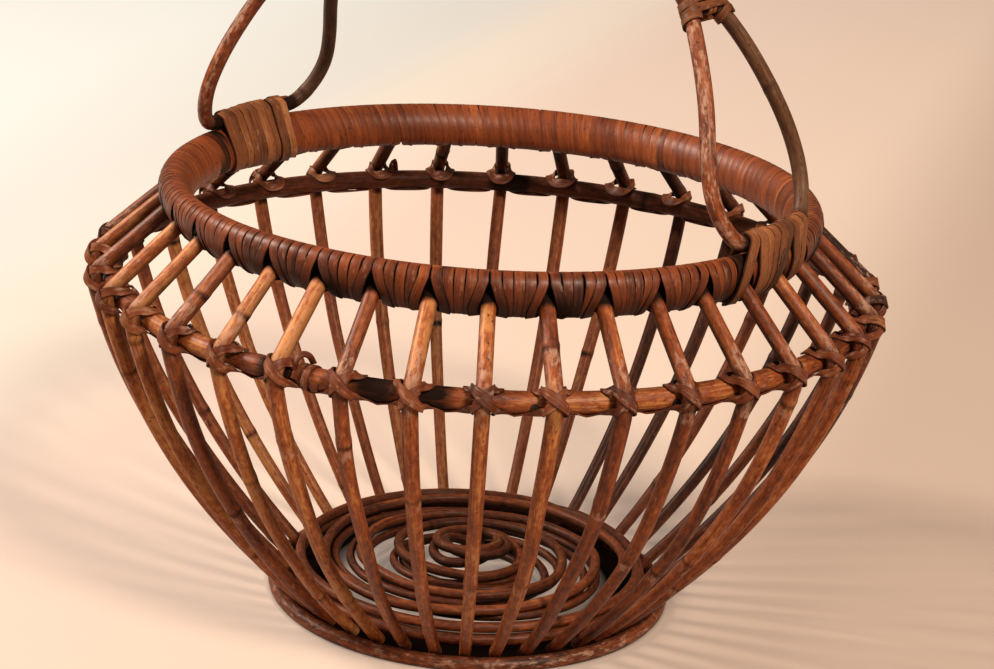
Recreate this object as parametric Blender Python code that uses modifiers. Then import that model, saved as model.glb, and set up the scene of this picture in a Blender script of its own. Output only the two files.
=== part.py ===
# A round openwork sewing basket of bent rattan, with an arched handle.
# Thirty-six ribs run down from a bound rim, outside a shoulder hoop, to a foot ring.
# One strip of cane laces every rib to the hoop, and a coiled rod makes the floor.
# The basket stands on z = 0 with its axis at x = y = 0, and the handle spans along x.

import math

import bmesh
import bpy
from mathutils import Vector
from mathutils.bvhtree import BVHTree

for old_object in list(bpy.data.objects):
    bpy.data.objects.remove(old_object)

MM = 0.001

# Fits and facets
GAP = 0.3 * MM
OVERRUN = 4.0 * MM
MERGE_DISTANCE = 0.01 * MM
SHARP_ANGLE = math.radians(40.0)
ROD_RESOLUTION = 2
THIN_ROD_RESOLUTION = 1

# Ribs
RIB_COUNT = 36
RIB_RADIUS = 2.8 * MM
RIB_FOOT_RADIUS = 2.3 * MM
RIB_SHOULDER_SLOPE = math.radians(42.0)
RIB_DROP_ANGLE = math.radians(15.0)
RIB_FOOT_SLOPE = math.radians(43.0)
RIB_TAIL_LENGTH = 4.5 * MM
RIB_CURVE_STEPS = 3
RIB_START_AZIMUTH = math.radians(2.6)
RIB_CROWDED_AZIMUTH = math.radians(315.0)
RIB_CROWDING_ANGLE = math.radians(4.4)

# Rim
RIM_RADIUS = 117.5 * MM
RIM_ROD_RADIUS = 2.0 * MM
RIM_ROD_STAGGER = 1.8 * MM
RIM_HALF_DEPTH = 6.0 * MM
RIM_WALL = 1.0 * MM
RIM_GROOVE = 0.45 * MM
RIM_RIDGES_PER_BAY = 2
RIM_SECTION_POINTS = 8
RIM_SLOT_RISE = 3.6 * MM
RIM_SLOT_STEPS = 5

# Shoulder hoop, wider than the rim by its overhang, and the lacing on it
SHOULDER_OVERHANG = 22.8 * MM
SHOULDER_HEIGHT = 128.0 * MM
HOOP_ROD_RADIUS = 3.8 * MM
LACING_WIDTH = 2.4 * MM
LACING_THICKNESS = 0.7 * MM
LACING_LAYER_GAP = 0.5 * MM
LACING_RIB_TURN = math.radians(60.0)
LACING_TOP_ANGLE = math.radians(78.0)
LACING_BACK_ANGLE = math.radians(148.0)
LACING_UNDER_ANGLE = math.radians(-70.0)
LACING_FLANK_SHARE = 0.62
LACING_FACE_SHARE = 0.28
LACING_BACK_SHARE = 0.6

# Foot ring and floor
FOOT_RADIUS = 75.6 * MM
FOOT_ROD_RADIUS = 2.8 * MM
FOOT_FLAT_DEPTH = 0.5 * MM
FOOT_ARC_STEPS = 7
FOOT_STEPS = 36
FLOOR_ROD_RADIUS = 2.2 * MM
FLOOR_UPPER_ROD_RADIUS = 2.0 * MM
FLOOR_SETBACK = 2.0 * MM
FLOOR_LEAN = math.radians(15.0)
FLOOR_RING_STEPS = 30
SPIRAL_ROD_RADIUS = 2.0 * MM
SPIRAL_TURNS = 4.25
SPIRAL_LEAD_TURNS = 0.25
SPIRAL_INNER_RADIUS = 6.0 * MM
SPIRAL_POINTS_PER_TURN = 14
SPIRAL_WOBBLE_SHARE = 0.16
SPIRAL_WOBBLE_TURNS = 1.5

# Handle: its foot loops are drawn as shares of half their width and of their height
HANDLE_ROD_RADIUS = 2.85 * MM
HANDLE_CROWN_RISE = 34.5 * MM
HANDLE_CENTRE_DROP = 63.0 * MM
RIGHT_LOOP_HALF_WIDTH = 32.0 * MM
LEFT_LOOP_HALF_WIDTH = 37.0 * MM
LOOP_HEIGHT = 84.0 * MM
LOOP_SHARES = ((0.0, 0.0), (0.42, 0.0), (0.72, 0.015), (0.92, 0.1), (1.0, 0.22),
               (0.925, 0.365), (0.73, 0.545), (0.49, 0.75), (0.27, 0.9))
LOOP_STEPS = 2
ARCH_STEPS = 14
ARCH_BOW = 0.15 * MM

# Cane strip of the lashings and the grip
CANE_WIDTH = 3.0 * MM
CANE_THICKNESS = 0.8 * MM
CANE_SPACING = 0.85 * MM
LASHING_HALF_SPAN = 19.0 * MM
LASHING_POINTS = 10
GRIP_TURNS = 22
GRIP_POINTS = 8
NECK_LEAD_LENGTH = 16.0 * MM
NECK_TURNS = 9

# Colours, as sRGB codes, and surface values
RIB_COLOUR = "A85A32"
HOOP_COLOUR = "B98548"
BINDING_COLOUR = "8C4B2D"
LASHING_COLOUR = "7E553A"
FLOOR_COLOUR = "7A4028"
RATTAN_ROUGHNESS = 0.45
CANE_ROUGHNESS = 0.4


def make_collection(name):
    """Make a collection in the scene."""
    collection = bpy.data.collections.new(name)
    bpy.context.scene.collection.children.link(collection)
    return collection


basket = make_collection("sewing_basket")
cutters = make_collection("cutters")


def linear_colour(code):
    """Turn an sRGB colour code into the linear values that a shader takes."""
    channels = []
    for start in (0, 2, 4):
        value = int(code[start:start + 2], 16) / 255
        if value <= 0.04045:
            channels.append(value / 12.92)
        else:
            channels.append(((value + 0.055) / 1.055) ** 2.4)
    return (*channels, 1.0)


def make_material(name, code, roughness):
    """Make a plain Principled material."""
    material = bpy.data.materials.new(name)
    material.use_nodes = True
    shader = material.node_tree.nodes["Principled BSDF"]
    shader.inputs["Base Color"].default_value = linear_colour(code)
    shader.inputs["Roughness"].default_value = roughness
    shader.inputs["Metallic"].default_value = 0.0
    material.diffuse_color = linear_colour(code)
    return material


def polar(radius, azimuth, height):
    """A point at a radius and an azimuth round the basket's axis."""
    return Vector((radius * math.cos(azimuth), radius * math.sin(azimuth), height))


def make_rod(name, points, radii, material, closed=False, resolution=ROD_RESOLUTION):
    """A round rod along points, with its own radius at each of them."""
    widest = max(radii)
    curve = bpy.data.curves.new(name, "CURVE")
    curve.dimensions = "3D"
    curve.bevel_depth = widest
    curve.bevel_resolution = resolution
    curve.use_fill_caps = not closed
    spline = curve.splines.new("POLY")
    spline.points.add(len(points) - 1)
    for spline_point, point, radius in zip(spline.points, points, radii):
        spline_point.co = (*point, 1.0)
        spline_point.radius = radius / widest
    spline.use_cyclic_u = closed
    spline.use_smooth = True
    curve.materials.append(material)
    rod = bpy.data.objects.new(name, curve)
    basket.objects.link(rod)
    return rod


def make_ring(name, radius, height, rod_radius, azimuths, material, resolution=THIN_ROD_RESOLUTION):
    """A round rod bent to a closed ring, with a point at each azimuth."""
    points = [polar(radius, azimuth, height) for azimuth in azimuths]
    return make_rod(name, points, [rod_radius] * len(points), material, True, resolution)


def make_loft(name, ring_rows, material, collection, closed=False):
    """One object from rows of point rings, each row capped at its ends or closed on itself."""
    mesh_builder = bmesh.new()
    for rings in ring_rows:
        loops = [[mesh_builder.verts.new(point) for point in ring] for ring in rings]
        count = len(loops[0])
        following = loops[1:] + loops[:1] if closed else loops[1:]
        for here, there in zip(loops, following):
            for side in range(count):
                after = (side + 1) % count
                mesh_builder.faces.new((here[side], here[after], there[after], there[side]))
        if not closed:
            mesh_builder.faces.new(loops[0][::-1])
            mesh_builder.faces.new(loops[-1])
    bmesh.ops.recalc_face_normals(mesh_builder, faces=mesh_builder.faces)
    mesh = bpy.data.meshes.new(name)
    mesh_builder.to_mesh(mesh)
    mesh_builder.free()
    if material:
        mesh.materials.append(material)
    mesh.shade_smooth()
    mesh.set_sharp_from_angle(angle=SHARP_ANGLE)
    loft = bpy.data.objects.new(name, mesh)
    collection.objects.link(loft)
    return loft


def strip_rings(path, normals, width, thickness, closed=False):
    """Rectangles along a path, for a flat strip whose face looks along the normals."""
    rings = []
    count = len(path)
    for index, (point, normal) in enumerate(zip(path, normals)):
        before = path[index - 1] if closed or index else point
        after = path[(index + 1) % count] if closed or index < count - 1 else point
        along = (after - before).normalized()
        outward = (normal - along * normal.dot(along)).normalized()
        across = along.cross(outward) * (width / 2)
        lift = outward * (thickness / 2)
        rings.append([point + across + lift, point - across + lift,
                      point - across - lift, point + across - lift])
    return rings


def add_cut(target, cutter):
    """Cut one object with another."""
    cutter.hide_render = True
    cutter.display_type = "WIRE"
    modifier = target.modifiers.new(cutter.name, "BOOLEAN")
    modifier.operation = "DIFFERENCE"
    modifier.solver = "EXACT"
    modifier.object = cutter


def smooth_through(points, steps):
    """Points on a Catmull-Rom curve through the given ones."""
    curve = []
    for index in range(len(points) - 1):
        before = points[max(index - 1, 0)]
        start = points[index]
        end = points[index + 1]
        after = points[min(index + 2, len(points) - 1)]
        for step in range(steps):
            share = step / steps
            curve.append(0.5 * (2 * start + (end - before) * share
                                + (2 * before - 5 * start + 4 * end - after) * share ** 2
                                + (3 * start - before - 3 * end + after) * share ** 3))
    curve.append(points[-1])
    return curve


def crossing(start, direction, other, other_direction):
    """Where two straight lines of a flat view meet."""
    offset = other - start
    scale = direction.x * other_direction.y - direction.y * other_direction.x
    reach = (offset.x * other_direction.y - offset.y * other_direction.x) / scale
    return start + reach * direction


def convex_outline(circles, count):
    """A taut outline drawn round several circles of a plane, as corners and outward directions."""
    spacing = math.tau / count
    directions = [Vector((math.cos(spacing * index), math.sin(spacing * index))) for index in range(count)]
    reaches = [max(centre.dot(direction) + radius for centre, radius in circles)
               for direction in directions]
    outline = []
    for index in range(count):
        angle = spacing * (index + 0.5)
        outward = Vector((math.cos(angle), math.sin(angle)))
        sideways = Vector((-outward.y, outward.x))
        here = reaches[index]
        there = reaches[(index + 1) % count]
        corner = ((here + there) / (2 * math.cos(spacing / 2)) * outward
                  + (there - here) / (2 * math.sin(spacing / 2)) * sideways)
        outline.append((corner, outward))
    return outline


def print_strip_gap(name, rings, reach, apart):
    """Measure the least gap between stretches of a wound strip, from its corners to its faces."""
    sides = len(rings[0])
    corners = [corner for ring in rings for corner in ring]
    faces = []
    for index in range(len(rings) - 1):
        first = index * sides
        for side in range(sides):
            after = (side + 1) % sides
            faces.append((first + side, first + after, first + sides + after, first + sides + side))
    tree = BVHTree.FromPolygons(corners, faces)
    least = reach
    for place, corner in enumerate(corners):
        for _, _, face, distance in tree.find_nearest_range(corner, reach):
            if abs(face // sides - place // sides) > apart:
                least = min(least, distance)
    print(f"{name}: least gap to itself {least / MM:.2f} mm")


def print_rod_gap(name, points, radius, apart):
    """Measure the least gap between turns of a coiled rod, from the points of its centre line."""
    least = min((point - other).length
                for index, point in enumerate(points)
                for other in points[index + apart:])
    print(f"{name}: least gap to itself {(least - 2 * radius) / MM:.2f} mm")


# Azimuths: the ribs stand a little closer together on one side, as spaced by hand
def rib_azimuth(index):
    """The azimuth of one rib."""
    even = RIB_START_AZIMUTH + math.tau * index / RIB_COUNT
    return even - RIB_CROWDING_ANGLE * math.sin(even - RIB_CROWDED_AZIMUTH)


rib_azimuths = [rib_azimuth(index) for index in range(RIB_COUNT)]

# The rib's side view, as radius and height: it wraps the hoop between two straight tangents
shoulder_radius = RIM_RADIUS + SHOULDER_OVERHANG
wrap_radius = HOOP_ROD_RADIUS + GAP + RIB_RADIUS
hoop_centre = Vector((shoulder_radius, SHOULDER_HEIGHT))
slope_normal = Vector((math.sin(RIB_SHOULDER_SLOPE), math.cos(RIB_SHOULDER_SLOPE)))
slope_inward = Vector((-math.cos(RIB_SHOULDER_SLOPE), math.sin(RIB_SHOULDER_SLOPE)))
slope_start = hoop_centre + wrap_radius * slope_normal
rim_centre = slope_start + slope_inward * ((slope_start.x - RIM_RADIUS) / -slope_inward.x)
rib_top = rim_centre + (RIM_HALF_DEPTH - RIM_WALL - RIB_RADIUS) * slope_inward

foot_centre = Vector((FOOT_RADIUS, FOOT_ROD_RADIUS - FOOT_FLAT_DEPTH))
tail_normal = Vector((-math.sin(RIB_FOOT_SLOPE), math.cos(RIB_FOOT_SLOPE)))
tail_inward = Vector((-math.cos(RIB_FOOT_SLOPE), -math.sin(RIB_FOOT_SLOPE)))
tail_start = foot_centre + (FOOT_ROD_RADIUS + GAP + RIB_FOOT_RADIUS) * tail_normal
drop_outward = Vector((math.cos(RIB_DROP_ANGLE), -math.sin(RIB_DROP_ANGLE)))
drop_inward = Vector((-math.sin(RIB_DROP_ANGLE), -math.cos(RIB_DROP_ANGLE)))
drop_start = hoop_centre + wrap_radius * drop_outward


def rib_profile():
    """The rib's centre line from rim to foot, with the radius of the rod there."""
    belly = crossing(drop_start, drop_inward, tail_start, tail_inward)
    wrap_outward = (slope_normal + drop_outward).normalized()
    profile = [(rib_top, RIB_RADIUS), (slope_start, RIB_RADIUS),
               (hoop_centre + wrap_radius * wrap_outward, RIB_RADIUS)]
    for step in range(RIB_CURVE_STEPS + 1):
        share = step / RIB_CURVE_STEPS
        point = ((1 - share) ** 2 * drop_start + 2 * share * (1 - share) * belly
                 + share ** 2 * tail_start)
        profile.append((point, RIB_RADIUS + share * (RIB_FOOT_RADIUS - RIB_RADIUS)))
    profile.append((tail_start + RIB_TAIL_LENGTH * tail_inward, RIB_FOOT_RADIUS))
    return profile


def make_ribs():
    """The ribs, each its own rod."""
    material = make_material("bent_rattan_rod", RIB_COLOUR, RATTAN_ROUGHNESS)
    profile = rib_profile()
    radii = [radius for _, radius in profile]
    for index, azimuth in enumerate(rib_azimuths):
        points = [polar(place.x, azimuth, place.y) for place, _ in profile]
        make_rod(f"rib_{index + 1:02d}", points, radii, material, resolution=THIN_ROD_RESOLUTION)


# Rim: two hoops hold the rib tops between them, inside a hollow binding
rim_reach = RIB_RADIUS + GAP + RIM_ROD_RADIUS
outer_hoop_centre = rim_centre + rim_reach * slope_normal + RIM_ROD_STAGGER * slope_inward
inner_hoop_centre = rim_centre - rim_reach * slope_normal - RIM_ROD_STAGGER * slope_inward
rim_upright = (outer_hoop_centre - inner_hoop_centre).normalized()
rim_level = Vector((rim_upright.y, -rim_upright.x))
rim_half_height = ((outer_hoop_centre - inner_hoop_centre).length / 2
                   + RIM_ROD_RADIUS + GAP + RIM_WALL)


def rim_outline(inset):
    """Corners drawn round the rim's leaning oval section, as radius and height."""
    outline = []
    swell = 1 / math.cos(math.pi / RIM_SECTION_POINTS)
    for index in range(RIM_SECTION_POINTS):
        angle = math.tau * index / RIM_SECTION_POINTS
        outline.append(rim_centre
                       + (RIM_HALF_DEPTH - inset) * swell * math.cos(angle) * rim_level
                       + (rim_half_height - inset) * swell * math.sin(angle) * rim_upright)
    return outline


def rim_ring(inset, azimuth):
    """The rim's section stood up at one azimuth."""
    return [polar(place.x, azimuth, place.y) for place in rim_outline(inset)]


def make_rim():
    """The two hidden hoops and the ridged cane binding with a slot above each rib."""
    rod_material = make_material("rim_core_rattan", FLOOR_COLOUR, RATTAN_ROUGHNESS)
    for name, centre in (("rim_outer_hoop", outer_hoop_centre), ("rim_inner_hoop", inner_hoop_centre)):
        make_ring(name, centre.x, centre.y, RIM_ROD_RADIUS, rib_azimuths, rod_material)
    cane = make_material("rim_wound_cane", BINDING_COLOUR, CANE_ROUGHNESS)
    rings = []
    for index, azimuth in enumerate(rib_azimuths):
        bay = (rib_azimuths[(index + 1) % RIB_COUNT] - azimuth) % math.tau
        for step in range(2 * RIM_RIDGES_PER_BAY):
            inset = 0.0 if step % 2 else RIM_GROOVE
            rings.append(rim_ring(inset, azimuth + bay * step / (2 * RIM_RIDGES_PER_BAY)))
    bore_rings = [rim_ring(RIM_WALL, azimuth) for azimuth in rib_azimuths]
    binding = make_loft("rim_binding", [rings], cane, basket, closed=True)
    add_cut(binding, make_loft("rim_bore_cutter", [bore_rings], None, cutters, closed=True))
    add_cut(binding, make_rib_slots())


def make_rib_slots():
    """Slots through the binding's outer face: drawn round the rib, with a pointed top."""
    slot_radius = RIB_RADIUS + GAP
    tip_rise = slot_radius + RIM_SLOT_RISE
    flank_angle = math.asin(slot_radius / tip_rise)
    turn = (math.pi + 2 * flank_angle) / RIM_SLOT_STEPS
    corner_reach = slot_radius / math.cos(turn / 2)
    outline = [(0.0, tip_rise)]
    for step in range(RIM_SLOT_STEPS):
        angle = flank_angle - turn * (step + 0.5)
        outline.append((corner_reach * math.cos(angle), corner_reach * math.sin(angle)))
    outer_end = rim_centre - (RIM_HALF_DEPTH + OVERRUN) * slope_inward
    ring_rows = []
    for azimuth in rib_azimuths:
        sideways = Vector((-math.sin(azimuth), math.cos(azimuth), 0.0))
        upward = polar(slope_normal.x, azimuth, slope_normal.y)
        rings = []
        for end in (rim_centre, outer_end):
            middle = polar(end.x, azimuth, end.y)
            rings.append([middle + side * sideways + rise * upward for side, rise in outline])
        ring_rows.append(rings)
    return make_loft("rib_slot_cutter", ring_rows, None, cutters)


# Shoulder: the ribs pass outside the hoop and one strip laces them to it
def lacing_stations():
    """One rib's share of the lacing: offsets along, out and up from the hoop, and facings."""
    on_hoop = HOOP_ROD_RADIUS + GAP + LACING_THICKNESS / 2
    back_reach = on_hoop / math.cos((LACING_BACK_ANGLE - LACING_TOP_ANGLE) / 2)
    first_layer = (RIB_RADIUS + GAP + LACING_THICKNESS / 2) / math.cos(LACING_RIB_TURN / 2)
    second_layer = first_layer + (LACING_THICKNESS + LACING_LAYER_GAP) / math.cos(LACING_RIB_TURN / 2)
    beside_rib = RIB_RADIUS + GAP + LACING_WIDTH / 2 + GAP
    behind_rib = beside_rib * LACING_BACK_SHARE
    half_bay = math.pi * shoulder_radius / RIB_COUNT

    def round_hoop(along, angle, reach):
        out = math.cos(angle)
        rise = math.sin(angle)
        return (Vector((along, reach * out, reach * rise)), Vector((0.0, out, rise)))

    def over_rib(layer, climb):
        stations = []
        for step, share in ((-1.5, -LACING_FLANK_SHARE), (-0.5, -LACING_FACE_SHARE),
                            (0.5, LACING_FACE_SHARE), (1.5, LACING_FLANK_SHARE)):
            angle = LACING_RIB_TURN * step
            facing = Vector((math.sin(angle), math.cos(angle), 0.0))
            offset = Vector((0.0, wrap_radius, climb * share * on_hoop))
            stations.append((offset + layer * facing, facing))
        return stations

    return [
        *over_rib(first_layer, 1.0),
        round_hoop(beside_rib, LACING_TOP_ANGLE, back_reach),
        round_hoop(behind_rib, LACING_BACK_ANGLE, back_reach),
        round_hoop(-behind_rib, LACING_BACK_ANGLE, back_reach),
        round_hoop(-beside_rib, LACING_TOP_ANGLE, back_reach),
        *over_rib(second_layer, -1.0),
        round_hoop(half_bay, LACING_UNDER_ANGLE, on_hoop),
    ]


def make_shoulder():
    """The shoulder hoop and the continuous lacing that crosses over each rib."""
    hoop_material = make_material("shoulder_rattan_rod", HOOP_COLOUR, RATTAN_ROUGHNESS)
    make_ring("shoulder_hoop", shoulder_radius, SHOULDER_HEIGHT, HOOP_ROD_RADIUS,
              rib_azimuths, hoop_material, ROD_RESOLUTION)
    cane = make_material("shoulder_lacing_cane", BINDING_COLOUR, CANE_ROUGHNESS)
    stations = lacing_stations()
    path = []
    normals = []
    for azimuth in rib_azimuths:
        for offset, facing in stations:
            turned = azimuth + offset.x / shoulder_radius
            path.append(polar(shoulder_radius + offset.y, turned, SHOULDER_HEIGHT + offset.z))
            sideways = Vector((-math.sin(turned), math.cos(turned), 0.0))
            normals.append(facing.x * sideways + polar(facing.y, turned, facing.z))
    rings = strip_rings(path, normals, LACING_WIDTH, LACING_THICKNESS, closed=True)
    lacing = make_loft("shoulder_lacing", [rings], cane, basket, closed=True)
    # Where the strip twists, facets cut along the better diagonal keep its two faces apart
    facets = lacing.modifiers.new("facets", "TRIANGULATE")
    facets.quad_method = "BEAUTY"
    print_strip_gap("shoulder_lacing", rings, LACING_WIDTH, 2)


# Foot ring and floor
def make_foot():
    """The foot ring, a round section with a flat under it, turned about the basket's axis."""
    flat_angle = math.acos(foot_centre.y / FOOT_ROD_RADIUS)
    arc = math.tau - 2 * flat_angle
    mesh_builder = bmesh.new()
    corners = []
    for step in range(FOOT_ARC_STEPS + 1):
        angle = -math.pi / 2 - flat_angle - arc * step / FOOT_ARC_STEPS
        corners.append(mesh_builder.verts.new((FOOT_RADIUS + FOOT_ROD_RADIUS * math.cos(angle), 0.0,
                                               foot_centre.y + FOOT_ROD_RADIUS * math.sin(angle))))
    for here, there in zip(corners, corners[1:] + corners[:1]):
        mesh_builder.edges.new((here, there))
    mesh = bpy.data.meshes.new("foot_ring")
    mesh_builder.to_mesh(mesh)
    mesh_builder.free()
    mesh.materials.append(make_material("foot_rattan_rod", RIB_COLOUR, RATTAN_ROUGHNESS))
    foot = bpy.data.objects.new("foot_ring", mesh)
    basket.objects.link(foot)
    turning = foot.modifiers.new("turning", "SCREW")
    turning.steps = FOOT_STEPS
    turning.render_steps = FOOT_STEPS
    turning.use_merge_vertices = True
    turning.merge_threshold = MERGE_DISTANCE


lower_ring_centre = (tail_start + FLOOR_SETBACK * tail_inward
                     + (RIB_FOOT_RADIUS + GAP + FLOOR_ROD_RADIUS) * tail_normal)
ring_stack = FLOOR_ROD_RADIUS + GAP + FLOOR_UPPER_ROD_RADIUS
upper_ring_centre = lower_ring_centre + ring_stack * Vector((-math.sin(FLOOR_LEAN), math.cos(FLOOR_LEAN)))


def spiral_points():
    """The floor's coil: along the upper ring at first, then drifting in with a slow wobble."""
    ring_inside = upper_ring_centre.x * math.cos(math.pi / FLOOR_RING_STEPS) - FLOOR_UPPER_ROD_RADIUS
    outer = ring_inside - GAP - SPIRAL_ROD_RADIUS
    pitch = (outer - SPIRAL_INNER_RADIUS) / (SPIRAL_TURNS - SPIRAL_LEAD_TURNS)
    points = []
    for step in range(round(SPIRAL_TURNS * SPIRAL_POINTS_PER_TURN) + 1):
        turned = step / SPIRAL_POINTS_PER_TURN
        settled = max(turned - SPIRAL_LEAD_TURNS, 0.0)
        wobble = SPIRAL_WOBBLE_SHARE * pitch * math.sin(math.tau * settled / SPIRAL_WOBBLE_TURNS)
        radius = outer - pitch * settled + min(wobble, 0.0)
        points.append(polar(radius, math.tau * turned, upper_ring_centre.y))
    return points


def make_floor():
    """Two stacked rings inside the rib ends, and the coiled rod inside the upper one."""
    material = make_material("floor_rattan_rod", FLOOR_COLOUR, RATTAN_ROUGHNESS)
    azimuths = [math.tau * step / FLOOR_RING_STEPS for step in range(FLOOR_RING_STEPS)]
    make_ring("floor_ring_lower", lower_ring_centre.x, lower_ring_centre.y, FLOOR_ROD_RADIUS,
              azimuths, material)
    make_ring("floor_ring_upper", upper_ring_centre.x, upper_ring_centre.y, FLOOR_UPPER_ROD_RADIUS,
              azimuths, material)
    points = spiral_points()
    make_rod("floor_spiral", points, [SPIRAL_ROD_RADIUS] * len(points), material,
             resolution=THIN_ROD_RESOLUTION)
    print_rod_gap("floor_spiral", points, SPIRAL_ROD_RADIUS, SPIRAL_POINTS_PER_TURN // 2)


# Handle: two rods side by side over the arch, spread into a closed loop at each foot
rim_top_rise = math.hypot(RIM_HALF_DEPTH * rim_level.y, rim_half_height * rim_upright.y)
rim_top_out = ((RIM_HALF_DEPTH ** 2 * rim_level.y * rim_level.x
                + rim_half_height ** 2 * rim_upright.y * rim_upright.x) / rim_top_rise)
handle_foot = Vector((rim_centre.x + rim_top_out,
                      rim_centre.y + rim_top_rise + GAP + HANDLE_ROD_RADIUS))
arch_height = handle_foot.y - HANDLE_CENTRE_DROP
arch_rise = HANDLE_CENTRE_DROP + LOOP_HEIGHT + HANDLE_CROWN_RISE
arch_reach = handle_foot.x / math.cos(math.asin(HANDLE_CENTRE_DROP / arch_rise))
neck_angle = math.asin((HANDLE_CENTRE_DROP + LOOP_HEIGHT) / arch_rise)
rod_half_spacing = HANDLE_ROD_RADIUS + GAP / 2
cane_pitch = CANE_WIDTH + CANE_SPACING


def arch_length(angle):
    """Length along the arch for a small step of its angle, as a share of that step."""
    return math.hypot(arch_reach * math.sin(angle), arch_rise * math.cos(angle))


def arch_normal(angle):
    """The direction out of the arch, as out and up, at an angle of its oval."""
    return Vector((math.cos(angle) / arch_reach, math.sin(angle) / arch_rise)).normalized()


def arch_point(angle, outward=0.0, sideways=0.0):
    """A point over the arch at an angle of its oval, shifted out and sideways."""
    normal = arch_normal(angle)
    return Vector((arch_reach * math.cos(angle) + outward * normal.x, sideways,
                   arch_height + arch_rise * math.sin(angle) + outward * normal.y))


def reach_at(height):
    """The arch's distance from the axis at a height above its feet."""
    return arch_reach * math.cos(math.asin((HANDLE_CENTRE_DROP + height) / arch_rise))


def loop_line(half_width):
    """Spread and rise along one half of a foot loop, from the foot's middle to the neck."""
    places = [Vector((half_width * spread, LOOP_HEIGHT * rise)) for spread, rise in LOOP_SHARES]
    places.append(Vector((rod_half_spacing, LOOP_HEIGHT)))
    places[0].x = GAP / 2
    line = smooth_through(places, LOOP_STEPS)
    for place in line[len(line) // 2:]:
        place.x = max(place.x, rod_half_spacing)
    return line


def loop_point(place):
    """A point of the loop's line, bent round the basket and leaning in with the arch."""
    bend = place.x / handle_foot.x
    return Vector((reach_at(place.y) * math.cos(bend), handle_foot.x * math.sin(bend),
                   handle_foot.y + place.y))


def make_handle_rods():
    """The two bent rods. Points on the arch stand a little out, as the chords between them dip in."""
    material = make_material("handle_rattan_rod", RIB_COLOUR, RATTAN_ROUGHNESS)
    leg = [loop_point(place) for place in loop_line(RIGHT_LOOP_HALF_WIDTH)]
    far_line = [loop_point(place) for place in loop_line(LEFT_LOOP_HALF_WIDTH)]
    arch = []
    for step in range(1, ARCH_STEPS):
        angle = neck_angle + (math.pi - 2 * neck_angle) * step / ARCH_STEPS
        arch.append(arch_point(angle, ARCH_BOW, rod_half_spacing))
    far_leg = [Vector((-point.x, point.y, point.z)) for point in reversed(far_line)]
    for name, side in (("handle_rod_back", 1.0), ("handle_rod_front", -1.0)):
        points = [Vector((point.x, side * point.y, point.z)) for point in leg + arch + far_leg]
        make_rod(name, points, [HANDLE_ROD_RADIUS] * len(points), material)


def spread_at(line, height):
    """Half the rods' spacing at a height on a loop's narrowing part, and a level cut's stretch there."""
    for end, start in zip(line[:0:-1], line[-2::-1]):
        if start.y <= height <= end.y:
            share = (height - start.y) / (end.y - start.y)
            stretch = math.hypot(1.0, (end.x - start.x) / (end.y - start.y))
            return start.x + share * (end.x - start.x), stretch
    return rod_half_spacing, 1.0


def rise_at(line, spread):
    """The height of a foot loop's rod above the rim, at a distance from the foot's middle."""
    for start, end in zip(line[:-1], line[1:]):
        if start.x <= spread <= end.x:
            return start.y + (spread - start.x) / (end.x - start.x) * (end.y - start.y)
    return 0.0


def winding_angles():
    """Angles from the crown down to one loop's narrowing, at equal steps along the arch."""
    last = math.pi - neck_angle + NECK_LEAD_LENGTH / arch_length(neck_angle)
    angles = [math.pi / 2]
    while angles[-1] < last:
        angles.append(angles[-1] + cane_pitch / GRIP_POINTS / arch_length(angles[-1]))
    return angles


def make_winding(name, angles, side, half_width, material):
    """Flat cane wound round both handle rods, with one corner for each angle over the arch."""
    line = loop_line(half_width)
    path = []
    normals = []
    for step, angle in enumerate(angles):
        edge_angle = abs(angle - math.pi / 2) + CANE_WIDTH / 2 / arch_reach
        spread, stretch = spread_at(line, arch_rise * math.cos(edge_angle) - HANDLE_CENTRE_DROP)
        reach = HANDLE_ROD_RADIUS * stretch + GAP + CANE_THICKNESS / 2
        circles = [(Vector((0.0, spread)), reach), (Vector((0.0, -spread)), reach)]
        place, direction = convex_outline(circles, GRIP_POINTS)[step % GRIP_POINTS]
        point = arch_point(angle, place.x, place.y)
        out = arch_normal(angle)
        path.append(Vector((side * point.x, point.y, point.z)))
        normals.append(Vector((side * direction.x * out.x, direction.y, direction.x * out.y)))
    rings = strip_rings(path, normals, CANE_WIDTH, CANE_THICKNESS)
    make_loft(name, [rings], material, basket)
    print_strip_gap(name, rings, CANE_WIDTH, GRIP_POINTS // 2)


def make_windings():
    """The grip over the crown, and a winding on each side of it down to the loop's narrowing."""
    angles = winding_angles()
    half_grip = angles[:GRIP_TURNS // 2 * GRIP_POINTS + 1]
    grip = [math.pi - angle for angle in half_grip[:0:-1]] + half_grip
    make_winding("handle_grip_binding", grip, 1.0, RIGHT_LOOP_HALF_WIDTH,
                 make_material("grip_wound_cane", BINDING_COLOUR, CANE_ROUGHNESS))
    neck_cane = make_material("neck_cane", LASHING_COLOUR, CANE_ROUGHNESS)
    neck = angles[-NECK_TURNS * GRIP_POINTS - 1:]
    make_winding("neck_lashing_left", neck, 1.0, LEFT_LOOP_HALF_WIDTH, neck_cane)
    make_winding("neck_lashing_right", neck, -1.0, RIGHT_LOOP_HALF_WIDTH, neck_cane)


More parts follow.
